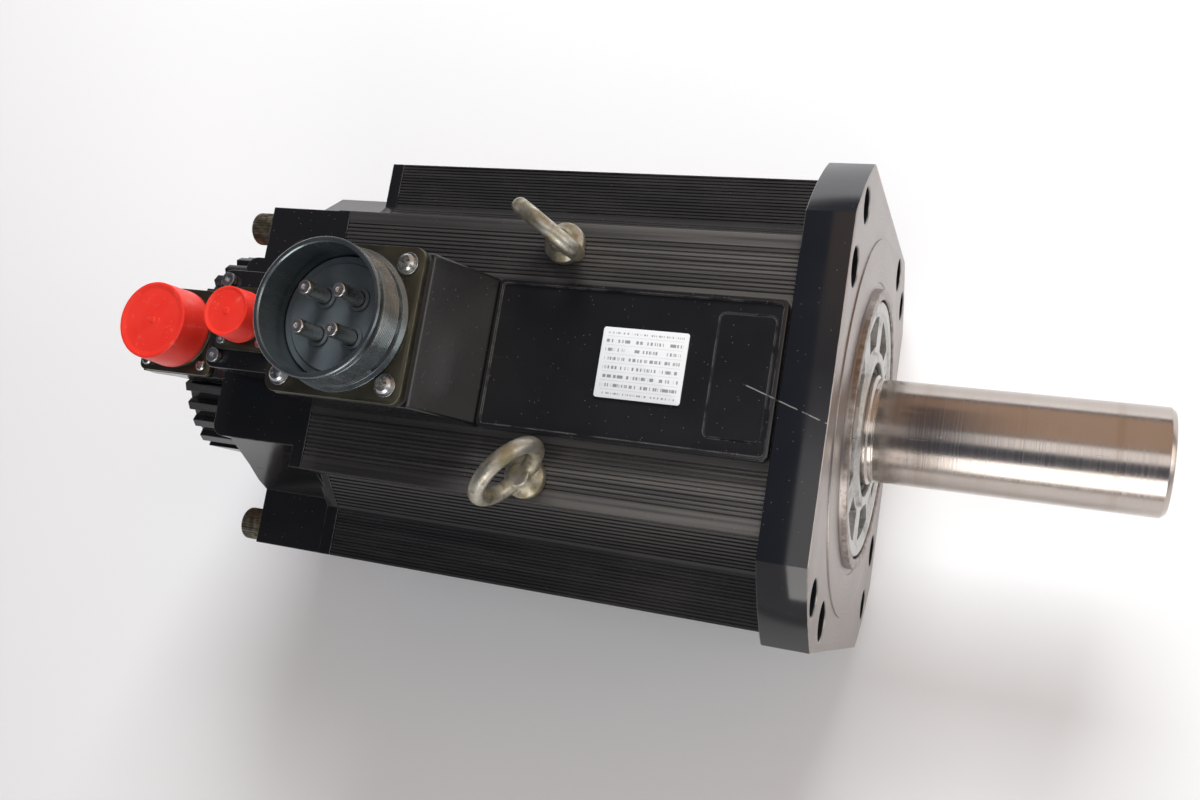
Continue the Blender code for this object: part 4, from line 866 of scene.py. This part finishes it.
def screw_cross(name, spot, height, node, head_r=0.0033, head_h=0.0024, washer=None):
    """Pan-head screw with a cross recess, its washer under it."""
    x, y = spot
    profile = [
        (-0.0060, 0.0, 0.0),
        (-0.0060, 0.0018),
        (0.0, 0.0018),
        (0.0, head_r - 0.0002),
        (head_h * 0.45, head_r, 0.0004),
        (head_h * 0.85, head_r * 0.72, 0.0006),
        (head_h, 0.0, 0.0),
    ]
    base = height + 0.0008 if washer else height
    data = lathe(profile, Z_AXIS, (x, y, base), 32, 0.0002)
    arm, half, turn = 0.62 * head_r, 0.0004, 0.35
    outline = []
    for index in range(4):
        place = Matrix.Rotation(turn + index * math.pi / 2, 2)
        for corner in ((arm, -half), (arm, half), (half, half)):
            spot = place @ Vector(corner)
            outline.append((x + spot.x, y + spot.y))
    cross = prism(outline, base + head_h * 0.45, base + head_h + 0.001, Z_AXIS)
    joined = carve(data, cross)
    if washer:
        ring = [(-0.0008, 0.0010), (-0.0008, washer), (-0.0001, washer), (0.0001, 0.0010)]
        add_lathe(joined, ring, Z_AXIS, (x, y, base), 40, 0.0002, closed=True)
    finish_piece(name, joined, "housing", "screw_steel", [node])


def screw_socket(name, spot, height, node, head_r, head_h, socket_r):
    """Socket-head screw with a hexagon recess."""
    x, y = spot
    profile = [
        (-0.0040, 0.0, 0.0),
        (-0.0040, head_r * 0.5),
        (0.0, head_r * 0.5),
        (0.0, head_r),
        (head_h, head_r, 0.0003),
        (head_h, 0.0, 0.0),
    ]
    data = lathe(profile, Z_AXIS, (x, y, height), 32, 0.0001)
    key = bmesh.new()
    hexagon = circle(socket_r, spot, 6, turn=0.3)
    add_prism(key, hexagon, height + head_h * 0.4, height + head_h + 0.001, Z_AXIS)
    joined = carve(data, key)
    finish_piece(name, joined, "housing", "screw_steel", [node])


def build_power_connector():
    """Large threaded receptacle with four stout hollow-ended pins."""
    high = around_hub("power_connector_shell")[1]
    top = POWER_TOP
    outer = 0.0254
    profile = [(0.1222, 0.0232, 0.0), (0.1222, 0.0268, 0.0), (top + 0.0014, 0.0268), (top + 0.0022, 0.0252)]
    profile += [(top + 0.0034, 0.0252)]
    profile += threads(top + 0.0046, high.z - 0.0030, 0.00100, outer, 0.00050)
    profile += [(high.z - 0.0022, outer), (high.z - 0.0004, outer), (high.z, outer - 0.0005)]
    profile += [(high.z, 0.0236), (high.z - 0.0006, 0.0232)]
    receptacle(
        "power_receptacle", "power_connector_shell", POWER_X, 0.0572, POWER_SCREW_HALF, 0.0022, profile,
        (top - 0.0032, top), 0.0046,
    )
    face = [
        (0.1232, 0.0, 0.0),
        (0.1232, 0.0229),
        (0.1288, 0.0229),
        (0.1288, 0.0205),
        (0.1296, 0.0200),
        (0.1296, 0.0, 0.0),
    ]
    disc = lathe(face, Z_AXIS, (POWER_X, 0.0, 0.0), 96, 0.0003)
    bosses = bmesh.new()
    pins = square_spots(POWER_X, 0.0070)
    for x, y in pins:
        ring = [(0.1288, 0.0), (0.1288, 0.0046), (0.1305, 0.0044), (0.1305, 0.0)]
        add_lathe(bosses, ring, Z_AXIS, (x, y, 0.0), 32, 0.0)
    disc = carve(disc, bosses, "UNION")
    bores = bmesh.new()
    for spot in pins:
        add_prism(bores, circle(0.0031, spot, 24), 0.115, 0.15, Z_AXIS)
    disc = carve(disc, bores)
    finish_piece("power_contact_insert", disc, "housing", "insulator_grey", ["power_insert"], bevel=0.0003)
    for index, (x, y) in enumerate(pins):
        body = [
            (0.1232, 0.0, 0.0),
            (0.1232, 0.00286),
            (0.1420, 0.00286),
            (0.1435, 0.00245, 0.0005),
            (0.1435, 0.0009),
            (0.1427, 0.0007),
            (0.1427, 0.0, 0.0),
        ]
        data = lathe(body, Z_AXIS, (x, y, 0.0), 40, 0.00025)
        finish_piece(f"contact_pin_{index + 1}", data, "housing", "silver_pin", [f"power_pin_{index + 1}"])
    for index, spot in enumerate(square_spots(POWER_X, POWER_SCREW_HALF)):
        name = f"power_mounting_screw_{index + 1}"
        screw_cross(name, spot, 0.1267, f"power_screw_{index + 1}", washer=0.0042)
    refine("connector_gasket", "power_gasket", "housing", "black_rubber", 0.0003, 2)


def small_connector(name, node, centre_x, side, half, hole_r, shell_r, plate, rim):
    """Small receptacle: flange and a plain shell."""
    low, top = plate
    profile = [(low + 0.0006, shell_r - 0.0016, 0.0), (low + 0.0006, shell_r + 0.0010, 0.0)]
    profile += [(top + 0.0014, shell_r + 0.0010), (top + 0.0020, shell_r)]
    profile += [(rim, shell_r), (rim, shell_r - 0.0016)]
    receptacle(name, node, centre_x, side, half, hole_r, profile, plate, side * 0.08)


def cap(name, node, body, centre_x, shell_r, cap_r, low, top):
    """Soft push-on cap: drafted cup with a thin lip and a dished top with its moulding mark."""
    profile = [
        (low, shell_r + 0.0004),
        (top - 0.0016, shell_r + 0.0003),
        (top - 0.0016, 0.0, 0.0),
        (top - 0.0002, 0.0, 0.0),
        (top - 0.0002, 0.0011),
        (top - 0.0005, 0.0015),
        (top - 0.0005, cap_r * 0.80, 0.0006),
        (top, cap_r * 0.90, 0.0004),
        (top, cap_r - 0.0006, 0.0009),
        (low + 0.0022, cap_r - 0.0001, 0.0003),
        (low + 0.0018, cap_r),
        (low, cap_r),
    ]
    ordered = profile[3:] + profile[:3]
    data = lathe(ordered, Z_AXIS, (centre_x, 0.0, 0.0), 96, 0.00025)
    finish_piece(name, data, body, "red_cap", [node])


def build_small_connectors():
    """Encoder and fan receptacles with their screws and dust caps."""
    top = ENCODER_TOP
    small_connector(
        "encoder_receptacle", "encoder_connector_shell", ENCODER_X, 0.0381, ENCODER_SCREW_HALF, 0.0016,
        ENCODER_SHELL_R, (top - 0.0028, top), 0.0844,
    )
    low, high = around_hub("encoder_cap")
    cap("encoder_dust_cap", "encoder_cap", "encoder_cap", ENCODER_X, ENCODER_SHELL_R, 0.0174, low.z, high.z)
    for index, spot in enumerate(square_spots(ENCODER_X, ENCODER_SCREW_HALF)):
        screw_cross(
            f"encoder_flange_screw_{index + 1}", spot, top + 0.0003, f"encoder_connector_screw_{index + 1}",
            head_r=0.0025, head_h=0.0019,
        )
    top = FAN_TOP
    small_connector(
        "fan_receptacle", "fan_connector_shell", FAN_X, 0.0254, FAN_SCREW_HALF, 0.0014,
        FAN_SHELL_R, (top - 0.0022, top), 0.1204,
    )
    low, high = around_hub("fan_cap")
    cap("fan_dust_cap", "fan_cap", "fan_cap", FAN_X, FAN_SHELL_R, 0.0103, low.z, high.z)
    for index, spot in enumerate(square_spots(FAN_X, FAN_SCREW_HALF)):
        screw_socket(
            f"fan_flange_screw_{index + 1}", spot, top + 0.0003, f"fan_connector_screw_{index + 1}",
            0.0019, 0.0016, 0.0010,
        )
    for index in range(2):
        node = f"fan_base_screw_{index + 1}"
        low, high = around_hub(node)
        spot = ((low.x + high.x) / 2, (low.y + high.y) / 2)
        screw_socket(f"base_screw_{index + 1}", spot, high.z - 0.0022, node, 0.0029, 0.0022, 0.0014)


# --- fittings ----------------------------------------------------------------------------------
def build_eyebolts():
    """Forged lifting eyes: ring, neck and collar flowing into each other."""
    for index, (side, turn) in enumerate(((1.0, math.radians(-33.0)), (-1.0, math.radians(52.0)))):
        data = bmesh.new()
        angles = [2.0 * math.pi * step / 20 for step in range(20)]
        wire = [(EYE_WIRE_R * math.sin(a), EYE_RING_R + EYE_WIRE_R * math.cos(a)) for a in angles]
        add_lathe(data, wire, Z_AXIS, steps=72, closed=True)
        stand = Matrix.Translation((0.0, 0.0, 0.0185)) @ Matrix.Rotation(turn, 4, "Z")
        bmesh.ops.transform(data, matrix=stand @ Matrix.Rotation(math.pi / 2, 4, "X"), verts=data.verts)
        collar = [
            (0.0, 0.0, 0.0),
            (0.0, 0.0080),
            (0.0032, 0.0080, 0.0006),
            (0.0046, 0.0064, 0.0012),
            (0.0060, 0.0046, 0.0010),
            (0.0088, 0.0040),
            (0.0088, 0.0, 0.0),
        ]
        data = carve(data, lathe(collar, Z_AXIS, steps=64, radius=0.0003), "UNION")
        bmesh.ops.translate(data, verts=data.verts, vec=(-0.107, side * 0.0445, 0.0863))
        made = finish_piece(
            f"lifting_eye_{index + 1}", data, "housing", "zinc_yellow", [f"eyebolt_{index + 1}"], sharp=60.0
        )
        blend = made.modifiers.new("blend", "REMESH")
        blend.mode = "VOXEL"
        blend.voxel_size = 0.00045
        blend.use_smooth_shade = True
        soften = made.modifiers.new("soften", "SMOOTH")
        soften.factor = 0.5
        soften.iterations = 6


def build_tie_bolts():
    """Knurled socket heads on long plain bolts."""
    rear = TIE_BOLT_REAR
    for index, (y, z) in enumerate(quarter_turns(*TIE_BOLT)):
        head = bmesh.new()
        outline = []
        for step in range(72):
            angle = 2.0 * math.pi * step / 72
            radius = 0.0068 - (0.00022 if step % 2 else 0.0)
            outline.append((y + radius * math.cos(angle), z + radius * math.sin(angle)))
        add_prism(head, outline, rear - 0.0100, rear, bevel=0.0005, segments=2)
        key = bmesh.new()
        add_prism(key, circle(0.0036, (y, z), 6), rear - 0.0110, rear - 0.0052)
        head = carve(head, key)
        shank = bmesh.new()
        add_prism(shank, circle(0.0040, (y, z), 32), rear - 0.0030, -0.0047, bevel=0.0006)
        solid = carve(head, shank, "UNION")
        node = f"tie_bolt_{index + 1}"
        finish_piece(f"long_bolt_{index + 1}", solid, "housing", "zinc_yellow", [node], sharp=25.0)


def build_nameplate_side():
    """Cover with its lips and outlined field, the plate on it, and the connector tower."""
    low, high = around_hub("nameplate_cover")
    half = (high.x - low.x) / 2
    centre = ((high.x + low.x) / 2, 0.0)
    solid = prism(rectangle(half, high.y, 0.0022, centre), low.z, high.z, Z_AXIS, bevel=0.0005, segments=3)
    dish = bmesh.new()
    inner = rectangle(half - 0.0016, high.y - 0.0016, 0.0016, centre)
    add_prism(dish, inner, high.z - 0.0010, high.z + 0.004, Z_AXIS)
    solid = carve(solid, dish)
    groove = bmesh.new()
    field = (high.x - 0.0135, 0.0)
    outer = rectangle(0.0105, 0.0225, 0.0025, field)
    add_prism(groove, outer, high.z - 0.0013, high.z + 0.002, Z_AXIS)
    solid = carve(solid, groove)
    island = bmesh.new()
    add_prism(island, rectangle(0.0101, 0.0221, 0.0022, field), high.z - 0.0030, high.z - 0.0009, Z_AXIS)
    solid = carve(solid, island, "UNION")
    finish_piece("rating_cover", solid, "housing", "black_paint", ["nameplate_cover"], bevel=0.0002)
    low, high = around_hub("nameplate")
    centre = ((low.x + high.x) / 2, (low.y + high.y) / 2)
    outline = rectangle((high.x - low.x) / 2, (high.y - low.y) / 2, 0.0010, centre)
    plate = prism(outline, low.z, high.z, Z_AXIS, bevel=0.0001)
    finish_piece("rating_plate", plate, "housing", "label_white", ["nameplate"])
    refine("connector_tower", "connector_box", "housing", "black_paint", 0.0012, 4)
    refine("connector_base", "fan_connector_base", "housing", "black_paint", 0.0008)


def build_rear():
    """Rear casting, finned drum, fan guard and fan."""
    refine("rear_casting", "rear_bracket", "housing", "black_paint", 0.0012, 3)
    refine("finned_drum", "rear_cover", "housing", "black_paint", 0.0006, 2)
    refine("fan_grille", "fan_guard", "housing", "screw_steel", 0.0003, 2)
    refine("fan_rotor", "fan_impeller", "fan", "fan_plastic", 0.0003, 2)


def build_pieces():
    """Every detailed piece."""
    build_shaft()
    build_front_bracket()
    build_retainer()
    build_seal()
    build_stator_frame()
    build_power_connector()
    build_small_connectors()
    build_eyebolts()
    build_tie_bolts()
    build_nameplate_side()
    build_rear()


# --- stage -------------------------------------------------------------------------------------
def make_camera():
    """The photographer's place: above the nameplate side, a little to the front."""
    data = bpy.data.cameras.new("camera")
    data.lens = 34.48
    data.sensor_width = 36.0
    camera = bpy.data.objects.new("camera", data)
    bpy.context.scene.collection.objects.link(camera)
    right = Vector((0.92999917, 0.16096473, -0.33044197))
    up = Vector((-0.10493447, 0.97786721, 0.1810096))
    back = Vector((0.35226453, -0.13366403, 0.92630644))
    turn = Matrix((right, up, back)).transposed().to_4x4()
    camera.matrix_world = Matrix.Translation(HUB + Vector((0.0637, -0.0687, 0.4736))) @ turn
    bpy.context.scene.camera = camera


def area_light(name, place, target, size, power, colour):
    """A soft square light that looks at a point."""
    data = bpy.data.lights.new(name, "AREA")
    data.shape = "RECTANGLE"
    data.size = size
    data.size_y = size
    data.energy = power
    data.color = colour
    lamp = bpy.data.objects.new(name, data)
    lamp.location = place
    lamp.rotation_mode = "QUATERNION"
    lamp.rotation_quaternion = (Vector(target) - Vector(place)).to_track_quat("-Z", "Y")
    bpy.context.scene.collection.objects.link(lamp)
    return lamp


class Sky(Graph):
    """The same builder for the world, by direction."""

    def __init__(self, name):
        self.material = bpy.data.worlds.new(name)
        self.material.use_nodes = True
        self.tree = self.material.node_tree
        self.shader = self.tree.nodes["Background"]
        self.place = self.add("ShaderNodeTexCoord").outputs["Generated"]
        split = self.add("ShaderNodeSeparateXYZ", {0: self.place})
        self.x, self.y, self.z = split.outputs


def studio_world():
    """A dark room with a white panel over the shaft and dim warm strips beside it."""
    g = Sky("studio")
    around = g.math("ARCTAN2", g.y, g.z)
    ahead = g.ramp(g.x, -0.165, -0.115)

    def strip(low, high, soft):
        return window(g, around, math.radians(low), math.radians(high), math.radians(soft))

    colour = g.blend(g.ramp(g.x, -0.5, 0.3), (0.055, 0.062, 0.085), (0.10, 0.11, 0.14))
    colour = g.blend(g.times(strip(58.0, 84.0, 6.0), 0.7), colour, (0.50, 0.35, 0.27))
    colour = g.blend(g.times(strip(12.0, 84.0, 5.0), ahead), colour, (0.58, 0.42, 0.32))
    colour = g.blend(strip(-125.0, -58.0, 8.0), colour, (0.44, 0.43, 0.43))
    colour = g.blend(g.times(strip(-15.0, 8.0, 3.0), ahead), colour, (1.35, 1.32, 1.30))
    g.join(colour, g.shader.inputs["Color"])
    g.shader.inputs["Strength"].default_value = 1.0
    return g.material


def make_stage():
    """Pale floor and soft studio light."""
    data = bmesh.new()
    bmesh.ops.create_grid(data, x_segments=1, y_segments=1, size=4.0)
    floor = as_object(data, "floor")
    floor.location = (0.0, 0.0, FLOOR_Z)
    g = Graph("floor_paper")
    cloud = g.noise(3.0, 3.0)
    base = g.blend(cloud, (0.835, 0.840, 0.850), (0.865, 0.868, 0.875))
    floor.data.materials.append(g.set(colour=base, rough=0.6, normal=g.bump(g.noise(900.0, 2.0), 0.00002)))
    bpy.context.scene.world = studio_world()
    key = area_light("key", (0.15, 1.30, 1.10), HUB, 0.75, 33.0, (0.95, 0.98, 1.0))
    key.visible_glossy = False
    area_light("low", (0.30, -1.20, 0.70), HUB, 0.8, 6.5, WARM_LIGHT)
    area_light("front", (1.50, 0.10, 0.55), HUB, 0.8, 3.0, WARM_LIGHT)
    scene = bpy.context.scene
    scene.view_settings.view_transform = "Standard"
    scene.view_settings.look = "None"


make_camera()
make_stage()
dress_nodes()
build_pieces()
